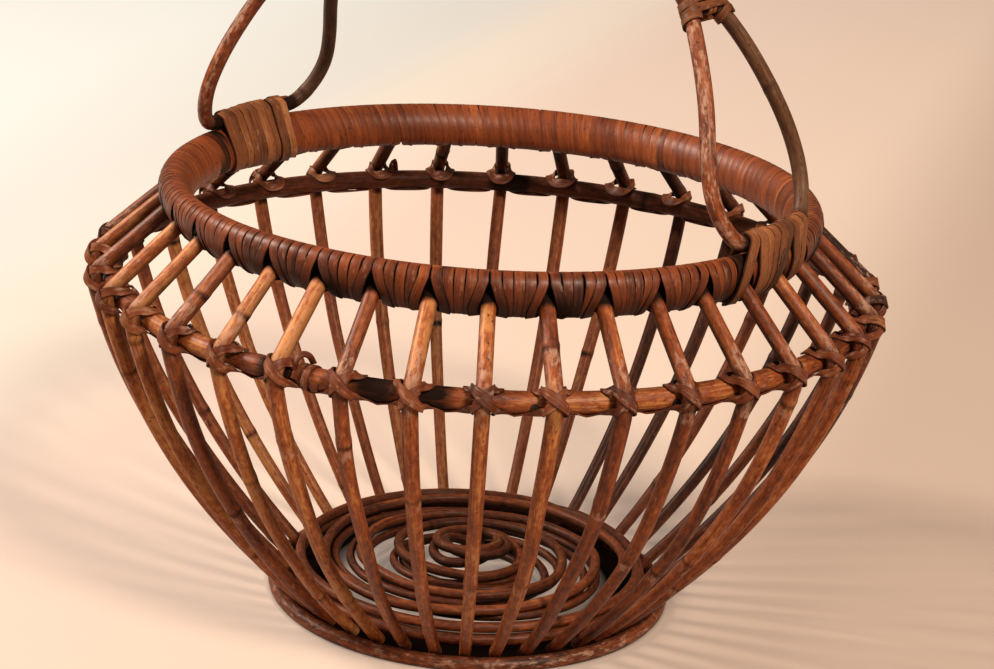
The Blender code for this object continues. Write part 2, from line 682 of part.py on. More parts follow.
def lashing_azimuths(centre):
    """Azimuths of a foot lashing's turns, which keep clear of the ribs."""
    half_span = LASHING_HALF_SPAN / RIM_RADIUS
    clear = (RIB_RADIUS + 2 * GAP + CANE_WIDTH / 2) / RIM_RADIUS
    pitch = cane_pitch / RIM_RADIUS
    offsets = []
    for azimuth in rib_azimuths:
        offset = (azimuth - centre + math.pi) % math.tau - math.pi
        if abs(offset) < half_span + clear:
            offsets.append(offset)
    edges = [-half_span - clear, *sorted(offsets), half_span + clear]
    turns = []
    for start, end in zip(edges[:-1], edges[1:]):
        room = end - start - 2 * clear
        count = int(room / pitch) + 1 if room >= 0 else 0
        for index in range(count):
            turns.append(centre + (start + end) / 2 + pitch * (index - (count - 1) / 2))
    return turns


def make_foot_lashings():
    """Flat cane wound round the rim and the handle's foot, upright outside and aslant inside."""
    cane = make_material("foot_cane", LASHING_COLOUR, CANE_ROUGHNESS)
    lift = GAP + CANE_THICKNESS / 2
    rim_circles = [(place, lift) for place in rim_outline(0.0)]
    first_corner = LASHING_POINTS // 4 - 1
    upright_steps = LASHING_POINTS // 2 - 1
    slant_steps = LASHING_POINTS - 1 - upright_steps
    for name, centre, half_width in (("foot_lashing_right", 0.0, RIGHT_LOOP_HALF_WIDTH),
                                     ("foot_lashing_left", math.pi, LEFT_LOOP_HALF_WIDTH)):
        line = loop_line(half_width)
        turns = lashing_azimuths(centre)
        path = []
        normals = []
        for azimuth, following in zip(turns, [*turns[1:], turns[-1] + cane_pitch / RIM_RADIUS]):
            for step in range(LASHING_POINTS):
                slant_share = max(step - upright_steps, 0) / slant_steps
                turned = azimuth + slant_share * (following - azimuth)
                rod_rise = rise_at(line, abs(turned - centre) * handle_foot.x)
                rod_centre = Vector((reach_at(rod_rise), handle_foot.y + rod_rise))
                circles = [*rim_circles, (rod_centre, HANDLE_ROD_RADIUS + GAP + lift)]
                outline = convex_outline(circles, LASHING_POINTS)
                place, direction = outline[(first_corner - step) % LASHING_POINTS]
                path.append(polar(place.x, turned, place.y))
                normals.append(polar(direction.x, turned, direction.y))
        rings = strip_rings(path, normals, CANE_WIDTH, CANE_THICKNESS)
        make_loft(name, [rings], cane, basket)
        print_strip_gap(name, rings, CANE_WIDTH, LASHING_POINTS // 2)


make_ribs()
make_rim()
make_shoulder()
make_foot()
make_floor()
make_handle_rods()
make_windings()
make_foot_lashings()
bpy.context.view_layer.update()
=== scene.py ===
# %% [markdown]
# An openwork sewing basket of bent rattan.
# Thirty-six thin rods run from a cane-bound rim, outside a thick hoop, down to a foot ring.
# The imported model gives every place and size. This script gives each piece its shape and finish.

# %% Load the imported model
import math
import random
from collections import namedtuple

import bmesh
import bpy
from mathutils import Matrix, Vector


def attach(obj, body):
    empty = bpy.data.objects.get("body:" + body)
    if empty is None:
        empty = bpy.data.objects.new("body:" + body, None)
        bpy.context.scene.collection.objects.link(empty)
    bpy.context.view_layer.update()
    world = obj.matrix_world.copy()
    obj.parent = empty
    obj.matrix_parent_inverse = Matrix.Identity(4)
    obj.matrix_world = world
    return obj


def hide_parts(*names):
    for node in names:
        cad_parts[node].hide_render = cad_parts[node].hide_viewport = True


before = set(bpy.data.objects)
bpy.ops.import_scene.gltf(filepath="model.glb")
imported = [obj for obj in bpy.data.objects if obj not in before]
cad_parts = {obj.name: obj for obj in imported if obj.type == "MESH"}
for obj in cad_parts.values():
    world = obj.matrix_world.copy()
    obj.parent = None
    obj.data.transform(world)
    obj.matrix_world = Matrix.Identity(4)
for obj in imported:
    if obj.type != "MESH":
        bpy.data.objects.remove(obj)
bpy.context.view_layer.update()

MM = 0.001
print("nodes in the frame:", len(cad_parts))

# %% [markdown]
# Colours are picked as sRGB codes, the way a paint chart gives them. Shaders want linear
# light, so one function turns a code into linear values.


# %% Colours
def colour(code):
    """Turn an sRGB code into the linear red, green, blue and alpha of a shader."""
    channels = []
    for start in (0, 2, 4):
        value = int(code[start:start + 2], 16) / 255
        if value <= 0.04045:
            channels.append(value / 12.92)
        else:
            channels.append(((value + 0.055) / 1.055) ** 2.4)
    return (*channels, 1.0)


print("rattan red-brown in linear light:", [round(value, 3) for value in colour("A8572F")])

# %% [markdown]
# A shader is a small tree of nodes. One function adds a node, sets its values, links its inputs
# and hands back one of its outputs. So each material below reads as a list of what happens to the
# surface.

# %% One way to add a node
MIX_FACTOR, MIX_A, MIX_B, MIX_RESULT = 0, 6, 7, 2


def add_node(tree, kind, settings, links, output=0):
    """Add a shader node with its settings, link others' outputs into it, and return one output."""
    node = tree.nodes.new(kind)
    for name, value in settings.items():
        if isinstance(name, int) or name in node.inputs:
            node.inputs[name].default_value = value
        else:
            setattr(node, name, value)
    for name, source in links.items():
        tree.links.new(source, node.inputs[name])
    return node.outputs[output]


def limits(low, high, to_low=0.0, to_high=1.0):
    """Settings that stretch one range of values to another and clamp it at its ends."""
    return {"From Min": low, "From Max": high, "To Min": to_low, "To Max": to_high, "clamp": True}


print("settings that stretch a range:", limits(0.25, 0.75))

# %% [markdown]
# Rattan is a climbing palm. Its stem is a solid rod of long fibres under a hard, glossy skin,
# with a ring or knuckle every hand's breadth. Cane is that skin, split off and shaved to a flat
# strip. Both show the same things: streaks along the fibres, slow changes from red-brown to
# honey, grey scuffs where hands and tables rubbed the stain away, dark specks in the pores, and
# dirt in the corners. A picture of bark could be wrapped round each piece, but it would slide
# over the bends and show a seam. Noise that is drawn out along the straight piece's own fibres
# follows every bend instead. Each piece carries four attributes for its material. "grain" is the
# place on the straight piece before it was bent. "tone" is how light this rod or turn is, on the
# ribs with painted light and shade in it. The third attribute holds dirt together with painted
# shade, and "wear" is how much it was rubbed.

# %% The rattan and cane finish
Finish = namedtuple("Finish", "dark middle light pale streak_mm blotch_mm mottle scuff_share "
                              "roughness coat bump_mm")
FIBRE_LENGTH_MM = 28.0
BLOTCH_LENGTH_MM = 26.0
# Each fine pattern's length along the fibres and width across them in mm, its detail and its shift.
# Real pores are a tenth of a millimetre wide. They are drawn coarser here, so that they show.
FINE_PATTERNS = {"mottling": (3.2, 1.5, 4.0, 19.0), "scuffs": (4.0, 1.7, 5.0, 13.0),
                 "specks": (1.98, 1.1, 2.0, 29.0), "pores": (7.0, 0.45, 1.0, 37.0)}
STREAK_SHADE = 0.2
BLOTCH_SHADE = 0.28
MIDDLE_PLACE, LIGHT_PLACE = 0.38, 0.72
# Dirt and painted shade both darken the surface towards this colour
STAIN_AND_SHADE_COLOUR = "1F130F"
SPECK_COLOUR = "22100A"
SCUFF_COLOUR = "BE9882"
RATTAN_IOR = 1.5
CLEAN_SPECULAR, STAIN_AND_SHADE_SPECULAR = 0.3, 0.04
DULLING = 0.3
COAT_ROUGHNESS = 0.28


def make_rattan(name, finish):
    """A material of rattan fibres: streaked, blotched, scuffed, specked, stained and painted with
    shade.
    """
    material = bpy.data.materials.new(name)
    material.use_nodes = True
    tree = material.node_tree
    grain = add_node(tree, "ShaderNodeAttribute", {"attribute_name": "grain"}, {}, "Vector")
    tone, stain, wear = (add_node(tree, "ShaderNodeAttribute", {"attribute_name": kind}, {}, "Fac")
                         for kind in ("tone", "stain", "wear"))
    noise = {}
    patterns = {"streaks": (FIBRE_LENGTH_MM, finish.streak_mm, 3.0, 0.0),
                "blotches": (BLOTCH_LENGTH_MM, finish.blotch_mm, 3.0, 7.0), **FINE_PATTERNS}
    for kind, (along, across, detail, shift) in patterns.items():
        scale = [1 / (size * MM) for size in (along, across, across)]
        placed = add_node(tree, "ShaderNodeMapping", {"Scale": scale, "Location": [shift] * 3},
                          {"Vector": grain})
        settings = {"Scale": 1.0, "Detail": detail, "Roughness": 0.6}
        noise[kind] = add_node(tree, "ShaderNodeTexNoise", settings, {"Vector": placed})

    shade = tone
    for kind, low, high, size in (("streaks", 0.25, 0.75, STREAK_SHADE),
                                  ("blotches", 0.25, 0.75, BLOTCH_SHADE),
                                  ("mottling", 0.3, 0.7, finish.mottle)):
        swing = add_node(tree, "ShaderNodeMapRange", limits(low, high, -size, size),
                         {"Value": noise[kind]})
        shade = add_node(tree, "ShaderNodeMath", {"operation": "ADD"}, {0: shade, 1: swing})
    base = add_node(tree, "ShaderNodeValToRGB", {}, {"Fac": shade})
    stops = base.node.color_ramp.elements
    stops[0].color, stops[1].color = colour(finish.dark), colour(finish.pale)
    for place, code in ((MIDDLE_PLACE, finish.middle), (LIGHT_PLACE, finish.light)):
        stops.new(place).color = colour(code)

    rubbed = add_node(tree, "ShaderNodeMapRange", limits(0.0, 1.0, -0.12, 0.1), {"Value": wear})
    scuffs = add_node(tree, "ShaderNodeMath", {"operation": "ADD"}, {0: noise["scuffs"], 1: rubbed})
    scuffs = add_node(tree, "ShaderNodeMapRange", limits(0.53, 0.68, 0.0, finish.scuff_share),
                      {"Value": scuffs})
    specks = add_node(tree, "ShaderNodeMapRange", limits(0.64, 0.72, 0.0, 0.8),
                      {"Value": noise["specks"]})
    pores = add_node(tree, "ShaderNodeMapRange", limits(0.64, 0.74, 0.0, 0.6),
                     {"Value": noise["pores"]})
    specks = add_node(tree, "ShaderNodeMath", {"operation": "MAXIMUM"}, {0: specks, 1: pores})
    patches = add_node(tree, "ShaderNodeMapRange", limits(0.3, 0.62, 0.55, 1.25),
                       {"Value": noise["blotches"]})
    # Dirt and painted shade, made patchy by the blotches
    stains_and_shade = add_node(tree, "ShaderNodeMath", {"operation": "MULTIPLY", "use_clamp": True},
                      {0: stain, 1: patches})
    for mask, code in ((scuffs, SCUFF_COLOUR), (specks, SPECK_COLOUR), (stains_and_shade, STAIN_AND_SHADE_COLOUR)):
        base = add_node(tree, "ShaderNodeMix", {"data_type": "RGBA", MIX_B: colour(code)},
                        {MIX_FACTOR: mask, MIX_A: base}, MIX_RESULT)

    dull = add_node(tree, "ShaderNodeMath", {"operation": "ADD"}, {0: scuffs, 1: stains_and_shade})
    roughness = add_node(tree, "ShaderNodeMapRange",
                         limits(0.0, 1.0, finish.roughness, finish.roughness + DULLING),
                         {"Value": dull})
    # Less specular where dirt and painted shade darken the surface
    specular = add_node(tree, "ShaderNodeMapRange",
                        limits(0.2, 1.0, CLEAN_SPECULAR, STAIN_AND_SHADE_SPECULAR), {"Value": stain})
    relief = add_node(tree, "ShaderNodeMath", {"operation": "ADD"},
                      {0: noise["streaks"], 1: scuffs})
    bump = add_node(tree, "ShaderNodeBump", {"Strength": 0.6, "Distance": finish.bump_mm * MM},
                    {"Height": relief})
    sockets = tree.nodes["Principled BSDF"].inputs
    for socket, value in (("IOR", RATTAN_IOR), ("Specular IOR Level", CLEAN_SPECULAR),
                          ("Coat Weight", finish.coat), ("Coat Roughness", COAT_ROUGHNESS)):
        sockets[socket].default_value = value
    for socket, source in (("Base Color", base), ("Roughness", roughness),
                           ("Specular IOR Level", specular), ("Normal", bump)):
        tree.links.new(source, sockets[socket])
    return material


print("fine patterns of every finish:", ", ".join(FINE_PATTERNS))

# %% [markdown]
# Six kinds of rod and cane are in this basket. They came from the same palm but were split, oiled
# and handled in different ways. One function with a few numbers each keeps them a family, which
# six separate materials wouldn't. After the four colours come the widths of streaks and blotches,
# how strong the mottling and the scuffs are, the roughness, the varnish and the height of the
# fibres.

# %% Six finishes
# Oiled rattan rod, skin left on and rubbed with oil: satin, red-brown to honey, with clear fibres
rod_finish = make_rattan("oiled_rattan_rod", Finish(
    "28110A", "6C3216", "9A5026", "C2824A", 0.8, 4.0, 0.22, 0.7, 0.48, 0.06, 0.22))
# Worn rattan rod, handled for years: greyer and duller, so it drops back behind the others
worn_finish = make_rattan("worn_rattan_rod", Finish(
    "22120A", "54341F", "785238", "A07C5A", 0.9, 5.0, 0.14, 0.5, 0.5, 0.04, 0.2))
# Wound cane, the split skin under varnish: smoother and more glossy, a deeper red-brown
cane_finish = make_rattan("varnished_wound_cane", Finish(
    "281008", "6A3014", "8A441E", "AC6830", 0.6, 6.0, 0.06, 0.4, 0.46, 0.07, 0.12))
# Lacing cane, the same skin rubbed by hands and thread: greyer, with pale scuffs
lacing_finish = make_rattan("rubbed_lacing_cane", Finish(
    "230F08", "642E18", "864828", "A67450", 0.5, 5.0, 0.1, 0.6, 0.5, 0.05, 0.14))
# Lashing cane, unvarnished: dull and fibrous, a dry yellowish brown
lashing_finish = make_rattan("dull_lashing_cane", Finish(
    "2C160B", "784424", "9C6038", "BA8250", 0.45, 5.0, 0.08, 0.45, 0.55, 0.05, 0.25))
# Inner rattan, peeled: no skin left, nearly matt. Very dark: in the rim that is painted shade,
# on the pegs their own colour
core_finish = make_rattan("dark_inner_rattan", Finish(
    "0E0805", "1E120D", "301B12", "44281A", 0.9, 5.0, 0.05, 0.1, 0.6, 0.0, 0.12))
print("finishes:", [material.name for material in bpy.data.materials])

# %% [markdown]
# Every rod and strip follows a path: a row of points. The helpers here place a point round the
# basket's axis, measure a path, cut it into even steps and draw a smooth curve through a few
# corners.


# %% Helpers for paths
def polar(radius, azimuth, height):
    """A point from its distance to the basket's axis, its azimuth and its height."""
    return Vector((radius * math.cos(azimuth), radius * math.sin(azimuth), height))


def lengths_along(points):
    """The length walked along a path at each of its points."""
    lengths = [0.0]
    for before, after in zip(points, points[1:]):
        lengths.append(lengths[-1] + (after - before).length)
    return lengths


def even_steps(points, spacing):
    """Points at nearly equal steps along a line of points."""
    lengths = lengths_along(points)
    count = max(2, round(lengths[-1] / spacing))
    stepped = []
    index = 0
    for step in range(count + 1):
        wanted = lengths[-1] * step / count
        while index < len(points) - 2 and lengths[index + 1] < wanted:
            index += 1
        share = (wanted - lengths[index]) / max(lengths[index + 1] - lengths[index], 1e-9)
        stepped.append(points[index].lerp(points[index + 1], min(share, 1.0)))
    return stepped


def smooth_through(points, steps):
    """Points on a Catmull-Rom curve through the given ones."""
    curve = []
    for index in range(len(points) - 1):
        before = points[max(index - 1, 0)]
        start = points[index]
        end = points[index + 1]
        after = points[min(index + 2, len(points) - 1)]
        for step in range(steps):
            share = step / steps
            curve.append(0.5 * (2 * start + (end - before) * share
                                + (2 * before - 5 * start + 4 * end - after) * share ** 2
                                + (3 * start - before - 3 * end + after) * share ** 3))
    curve.append(points[-1])
    return curve


def ease(value, low, high):
    """Rise smoothly from 0 at low to 1 at high. The two may come in either order."""
    share = min(max((value - low) / (high - low), 0.0), 1.0)
    return share * share * (3 - 2 * share)


print("halfway up an ease from 0 to 10:", ease(5.0, 0.0, 10.0))

# %% [markdown]
# A basket maker soaks a straight rod and bends it. The script does the same. It makes a straight
# tube one unit long with bmesh, cuts it into even rings, writes the straight place of every point
# into the "grain" attribute, and only then moves each ring to its place on the real path. A curve
# with a round bevel would give the same tube, but not its thickness, tone and dirt ring by ring.
# Flat cane is the same tube with its round section squeezed flat and its face left slightly
# domed.

# %% Straight stock and how it is bent
Ring = namedtuple("Ring", "point across outward half_width half_thickness "
                          "tone stain inner_stain wear")
SHARP_EDGE = math.radians(50.0)
ROUND = (1.0, 1.0)
FLAT = (0.3, 0.35)
FLAT_SIDES = 12
EDGE_SHARE = 0.9
GRAIN_SHIFT = 50.0
chance = random.Random(36)


def straight_stock(sides, rings):
    """A straight tube, one unit long and of unit radius, closed at both ends."""
    stock = bmesh.new()
    bmesh.ops.create_circle(stock, segments=sides, radius=1.0)
    drawn = bmesh.ops.extrude_edge_only(stock, edges=stock.edges[:])
    far_end = [part for part in drawn["geom"] if isinstance(part, bmesh.types.BMVert)]
    bmesh.ops.translate(stock, verts=far_end, vec=(0.0, 0.0, 1.0))
    lengthwise = [edge for edge in stock.edges
                  if abs(edge.verts[0].co.z - edge.verts[1].co.z) > 0.5]
    bmesh.ops.subdivide_edges(stock, edges=lengthwise, cuts=rings - 2, use_grid_fill=True)
    bmesh.ops.holes_fill(stock, edges=stock.edges[:], sides=sides)
    return stock


def add_piece(name, shape, material):
    """Make a finished bmesh an object of the scene, with its material."""
    mesh = bpy.data.meshes.new(name)
    shape.to_mesh(mesh)
    shape.free()
    mesh.materials.append(material)
    piece = bpy.data.objects.new(name, mesh)
    bpy.context.scene.collection.objects.link(piece)
    return piece


def bend_stock(name, material, rings, sides, section, edge_shade=0.0, floor_height=None):
    """Bend straight stock through its rings and make it an object."""
    stock = straight_stock(sides, len(rings))
    grain = stock.verts.layers.float_vector.new("grain")
    tone, stain, wear = (stock.verts.layers.float.new(kind) for kind in ("tone", "stain", "wear"))
    lengths = lengths_along([ring.point for ring in rings])
    shift = chance.uniform(0.0, GRAIN_SHIFT)
    last = len(rings) - 1
    for vertex in stock.verts:
        x, y, share = vertex.co
        index = round(share * last)
        here = rings[index]
        x = math.copysign(abs(x) ** section[0], x)
        y = math.copysign(abs(y) ** section[1], y)
        side = x * here.half_width
        rise = y * here.half_thickness
        vertex[grain] = (shift + lengths[index], side + shift, rise)
        vertex[tone] = here.tone
        # Painted shade on the side turned away from the facing is added to the dirt
        vertex[stain] = here.stain + here.inner_stain * (1 - y) / 2
        # Painted shade along the edges, where a strip meets its neighbour
        if abs(x) > EDGE_SHARE:
            vertex[stain] += edge_shade
        vertex[wear] = here.wear * (1 + y) / 2
        vertex.co = here.point + side * here.across + rise * here.outward
        if floor_height is not None:
            vertex.co.z = max(vertex.co.z, floor_height)
    bmesh.ops.recalc_face_normals(stock, faces=stock.faces)
    # On a long thin coil the operator can guess wrong. A negative volume shows that it did.
    if stock.calc_volume(signed=True) < 0:
        bmesh.ops.reverse_faces(stock, faces=stock.faces)
    print(f"{name}: {lengths[-1] / MM:.0f} mm long, {len(rings)} rings")
    piece = add_piece(name, stock, material)
    piece.data.shade_smooth()
    piece.data.set_sharp_from_angle(angle=SHARP_EDGE)
    return piece


# %% [markdown]
# Each ring of a piece needs to know where it is, which way its face looks and how thick, light,
# dirty and worn it is there, and how much painted shade it carries. A piece is planned as rows of
# such values, one row to a ring, then bent in one go. Then it takes the place of its plain solid
# in the frame and rides on the basket's one body.


# %% From rows of values to a piece
def square_up(rows):
    """Rings from rows of a point, a facing and looks, each squared up to the path's direction."""
    last = len(rows) - 1
    rings = []
    for index, (point, facing, *looks) in enumerate(rows):
        along = (rows[min(index + 1, last)][0] - rows[max(index - 1, 0)][0]).normalized()
        outward = (facing - along * facing.dot(along)).normalized()
        rings.append(Ring(point, outward.cross(along), outward, *looks))
    return rings


def bend_rod(name, material, rows, sides=12, floor_height=None):
    """Bend a round rod. A row: point, facing, radius, tone, dirt and painted shade, inner shade,
    wear.
    """
    rings = square_up([(point, facing, radius, radius, *looks)
                       for point, facing, radius, *looks in rows])
    return bend_stock(name, material, rings, sides, ROUND, floor_height=floor_height)


def bend_cane(name, material, thickness, edge_shade, rows):
    """Bend flat cane. A row: point, facing, half width, tone, dirt and painted shade, and wear."""
    rings = square_up([(point, facing, half_width, thickness / 2, tone, stain, 0.0, wear)
                       for point, facing, half_width, tone, stain, wear in rows])
    return bend_stock(name, material, rings, FLAT_SIDES, FLAT, edge_shade)


def fit(piece, slot, *nodes):
    """Let a piece stand for nodes of the frame and ride on the basket's one body."""
    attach(piece, "root")
    if nodes:
        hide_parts(*nodes)
    return piece


print("values of one ring:", ", ".join(Ring._fields))

# %% [markdown]
# The sizes below are the real basket's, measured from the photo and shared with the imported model.
# Thirty-six ribs stand around the axis, a little closer together on one side, as hands space
# them.

# %% Sizes of the frame
RIB_COUNT = 36
RIB_RADIUS = 2.8 * MM
RIB_FOOT_RADIUS = 2.3 * MM
RIB_SHOULDER_SLOPE = math.radians(42.0)
RIB_DROP_ANGLE = math.radians(15.0)
RIB_FOOT_SLOPE = math.radians(43.0)
RIB_TAIL_LENGTH = 4.5 * MM
RIB_START_AZIMUTH = math.radians(2.6)
RIB_CROWDED_AZIMUTH = math.radians(315.0)
RIB_CROWDING_ANGLE = math.radians(4.4)
RIM_RADIUS = 117.5 * MM
RIM_HALF_DEPTH = 6.0 * MM
RIM_WALL = 1.0 * MM
RIM_ROD_RADIUS = 2.0 * MM
RIM_ROD_STAGGER = 1.8 * MM
SHOULDER_OVERHANG = 22.8 * MM
SHOULDER_HEIGHT = 128.0 * MM
HOOP_ROD_RADIUS = 3.8 * MM
FOOT_RADIUS = 75.6 * MM
FOOT_ROD_RADIUS = 2.8 * MM
FOOT_FLAT_DEPTH = 0.5 * MM
GAP = 0.3 * MM

shoulder_radius = RIM_RADIUS + SHOULDER_OVERHANG
wrap_radius = HOOP_ROD_RADIUS + GAP + RIB_RADIUS
hoop_centre = Vector((shoulder_radius, SHOULDER_HEIGHT))
slope_normal = Vector((math.sin(RIB_SHOULDER_SLOPE), math.cos(RIB_SHOULDER_SLOPE)))
slope_inward = Vector((-math.cos(RIB_SHOULDER_SLOPE), math.sin(RIB_SHOULDER_SLOPE)))
slope_start = hoop_centre + wrap_radius * slope_normal
rim_centre = slope_start + slope_inward * ((slope_start.x - RIM_RADIUS) / -slope_inward.x)
rib_top = rim_centre + (RIM_HALF_DEPTH - RIM_WALL - RIB_RADIUS) * slope_inward
foot_centre = Vector((FOOT_RADIUS, FOOT_ROD_RADIUS - FOOT_FLAT_DEPTH))
tail_normal = Vector((-math.sin(RIB_FOOT_SLOPE), math.cos(RIB_FOOT_SLOPE)))
tail_inward = Vector((-math.cos(RIB_FOOT_SLOPE), -math.sin(RIB_FOOT_SLOPE)))
tail_start = foot_centre + (FOOT_ROD_RADIUS + GAP + RIB_FOOT_RADIUS) * tail_normal
drop_outward = Vector((math.cos(RIB_DROP_ANGLE), -math.sin(RIB_DROP_ANGLE)))
drop_inward = Vector((-math.sin(RIB_DROP_ANGLE), -math.cos(RIB_DROP_ANGLE)))
drop_start = hoop_centre + wrap_radius * drop_outward

rim_reach = RIB_RADIUS + GAP + RIM_ROD_RADIUS
outer_hoop_centre = rim_centre + rim_reach * slope_normal + RIM_ROD_STAGGER * slope_inward
inner_hoop_centre = rim_centre - rim_reach * slope_normal - RIM_ROD_STAGGER * slope_inward
rim_upright = (outer_hoop_centre - inner_hoop_centre).normalized()
rim_level = Vector((rim_upright.y, -rim_upright.x))
rim_half_height = ((outer_hoop_centre - inner_hoop_centre).length / 2
                   + RIM_ROD_RADIUS + GAP + RIM_WALL)


def rib_azimuth(index):
    """The azimuth of one rib, also past the last one."""
    even = RIB_START_AZIMUTH + math.tau * index / RIB_COUNT
    return even - RIB_CROWDING_ANGLE * math.sin(even - RIB_CROWDED_AZIMUTH)


print("rim centre in mm:", [round(value / MM, 1) for value in rim_centre])

# %% [markdown]
# A knuckle is where a leaf once grew out of the palm. The rod swells a little there, has a dark
# ring just under the swelling and is rubbed pale beyond that. Knuckles come at uneven distances,
# so each rod gets its own seeded ones, and every ring of the rod asks how near it is to one.

# %% Knuckles
KNUCKLE_LENGTH = 2.2 * MM


def knuckles_along(length, first, gap):
    """Seeded places of knuckles, from the ranges of the first place and of the gaps in mm."""
    places = [chance.uniform(*first) * MM]
    while places[-1] < length:
        places.append(places[-1] + chance.uniform(*gap) * MM)
    return places


def closeness(place, others, near, far):
    """How close a place is to any of several others: 1 up to one distance, 0 past another."""
    return max(1 - ease(abs(place - other), near, far) for other in others)


def knuckle_at(place, knuckles):
    """How far a place is on a knuckle, on its dark ring and on the rubbed band under that."""
    return (closeness(place, knuckles, 0.0, KNUCKLE_LENGTH),
            closeness(place - 0.6 * KNUCKLE_LENGTH, knuckles, 0.0, 0.6 * KNUCKLE_LENGTH),
            closeness(place - 2.2 * KNUCKLE_LENGTH, knuckles, 0.3 * KNUCKLE_LENGTH,
                      1.6 * KNUCKLE_LENGTH))


print("knuckle length in mm:", KNUCKLE_LENGTH / MM)

# %% [markdown]
# Each rib starts between the two hoops in the rim, slopes out over the shoulder hoop, bends round
# it and runs down in one easy curve to the foot ring. Its side view is drawn once: two straight
# parts, an arc round the hoop and a quadratic curve that leaves each straight part without a
# kink.

# %% The rib's side view
RIB_STEP = 1.8 * MM
RIB_ARC_STEPS = 10
RIB_CURVE_STEPS = 40


def rib_side_view():
    """The rib's centre line as radius and height, from the rim to the foot."""
    line = [rib_top, slope_start]
    start = math.atan2(slope_normal.y, slope_normal.x)
    end = math.atan2(drop_outward.y, drop_outward.x)
    for step in range(1, RIB_ARC_STEPS):
        angle = start + (end - start) * step / RIB_ARC_STEPS
        line.append(hoop_centre + wrap_radius * Vector((math.cos(angle), math.sin(angle))))
    offset = tail_start - drop_start
    scale = drop_inward.x * tail_inward.y - drop_inward.y * tail_inward.x
    reach = (offset.x * tail_inward.y - offset.y * tail_inward.x) / scale
    belly = drop_start + drop_inward * reach
    for step in range(RIB_CURVE_STEPS + 1):
        share = step / RIB_CURVE_STEPS
        line.append((1 - share) ** 2 * drop_start + 2 * share * (1 - share) * belly
                    + share ** 2 * tail_start)
    line.append(tail_start + RIB_TAIL_LENGTH * tail_inward)
    return even_steps(line, RIB_STEP)


side_view = rib_side_view()
print("side view of a rib:", len(side_view), "rings")

# %% [markdown]
# Real ribs aren't straight or alike. They wander a millimetre to either side between the hoops,
# taper to the foot, are dirty where they cross the hoop and worn where they bend. Painted shade
# darkens each rib where it goes into the rim and along its inner side, and the ribs on one side
# of the basket get painted shade, those on the other side painted light. One rib could be copied
# round the axis, but the eye would see the same knuckle thirty-six times. So each is bent on its
# own, with seeded wander, thickness, knuckles and tone.

# %% Ribs
RIB_SIDES = 14
RIB_WANDER = 1.3 * MM
RIB_KNUCKLES = ((12, 90), (60, 120))
RIB_THICKNESSES = (0.94, 1.04)
RIB_TONES = (0.34, 0.88)
LIGHTEST_RIB = 0.82
# The azimuth whose ribs get the most painted shade
SHADED_SIDE = math.radians(33.0)
KNUCKLE_SWELL = 0.09
SHOULDER_BEND_PLACE = 38 * MM
SHOULDER_BEND_REACH = 20 * MM
SLOPE_REACH = 12 * MM


def make_rib(index):
    """One bent rib. Ribs on one side get painted shade and those on the other painted light."""
    azimuth = rib_azimuth(index)
    knuckles = knuckles_along(RIB_STEP * len(side_view), *RIB_KNUCKLES)
    thickness = chance.uniform(*RIB_THICKNESSES)
    # Painted shade on the ribs of one side, painted light on those opposite
    dull = math.cos(azimuth - SHADED_SIDE)
    base_tone = min(chance.uniform(*RIB_TONES) - 0.22 * dull - 0.08 * abs(dull), LIGHTEST_RIB)
    top_tone = base_tone + chance.uniform(-0.2, 0.2)
    lean = [chance.uniform(-1.0, 1.0) for _ in range(3)]
    wear_low = chance.uniform(0.0, 0.35)
    rows = []
    for step, place in enumerate(side_view):
        along = step * RIB_STEP
        down = ease(place.y, SHOULDER_HEIGHT - 4 * MM, 0.0)
        free = min(max((SHOULDER_HEIGHT - 6 * MM - place.y) / SHOULDER_HEIGHT, 0.0), 1.0)
        wander = RIB_WANDER * math.sin(math.pi * free) * (lean[0] + 0.6 * lean[1]
                                                          * math.sin(7 * down + 3 * lean[2]))
        swell, ring, rubbed = knuckle_at(along, knuckles)
        taper = RIB_RADIUS + down * (RIB_FOOT_RADIUS - RIB_RADIUS)
        above = ease(place.y, SHOULDER_HEIGHT, SHOULDER_HEIGHT + SLOPE_REACH)
        near_hoop = 1 - ease(abs(place.y - SHOULDER_HEIGHT), 2 * MM, 9 * MM)
        # Painted shade, nearly black, where the rib goes into the rim
        rim_entry_shade = ease(along, 9.0 * MM, 5.5 * MM)
        bend = 1 - ease(abs(along - SHOULDER_BEND_PLACE), 0.0, SHOULDER_BEND_REACH)
        ahead = side_view[min(step + 1, len(side_view) - 1)]
        direction = (ahead - side_view[max(step - 1, 0)]).normalized()
        rows.append((polar(place.x, azimuth + wander / place.x, place.y),
                     polar(-direction.y, azimuth, direction.x),
                     taper * thickness * (1 + KNUCKLE_SWELL * swell),
                     base_tone + (top_tone - base_tone) * above,
                     0.6 * ring + 0.3 * near_hoop + 1.8 * rim_entry_shade,
                     # Painted shade on the rib's inner side, strongest above the shoulder hoop
                     0.45 + 0.45 * above,
                     0.8 * bend + 1.1 * rubbed + wear_low))
    name = f"rib_{index + 1:02d}"
    return fit(bend_rod(f"bent_{name}", rod_finish, rows, RIB_SIDES), "rib_rattan", name)


ribs = [make_rib(index) for index in range(RIB_COUNT)]
print("ribs:", len(ribs))

# %% [markdown]
# A hoop is one rod bent round until its ends overlap. A basket maker shaves both ends thin, so
# that the overlap, called a scarf, is no thicker than the rod. A torus would have no ends at all,
# so the hoop is bent from stock like the ribs. The same function makes every ring here: the two
# hoops inside the rim, the thick shoulder hoop, the foot ring and the two rings under the floor.

# %% Hoops inside the rim
HOOP_STEP = 2.4 * MM
HOOP_KNUCKLES = ((20, 90), (90, 170))
HOOP_SWELL = 0.06
SCARF_LENGTH = 22 * MM
SCARF_CUT = 0.72


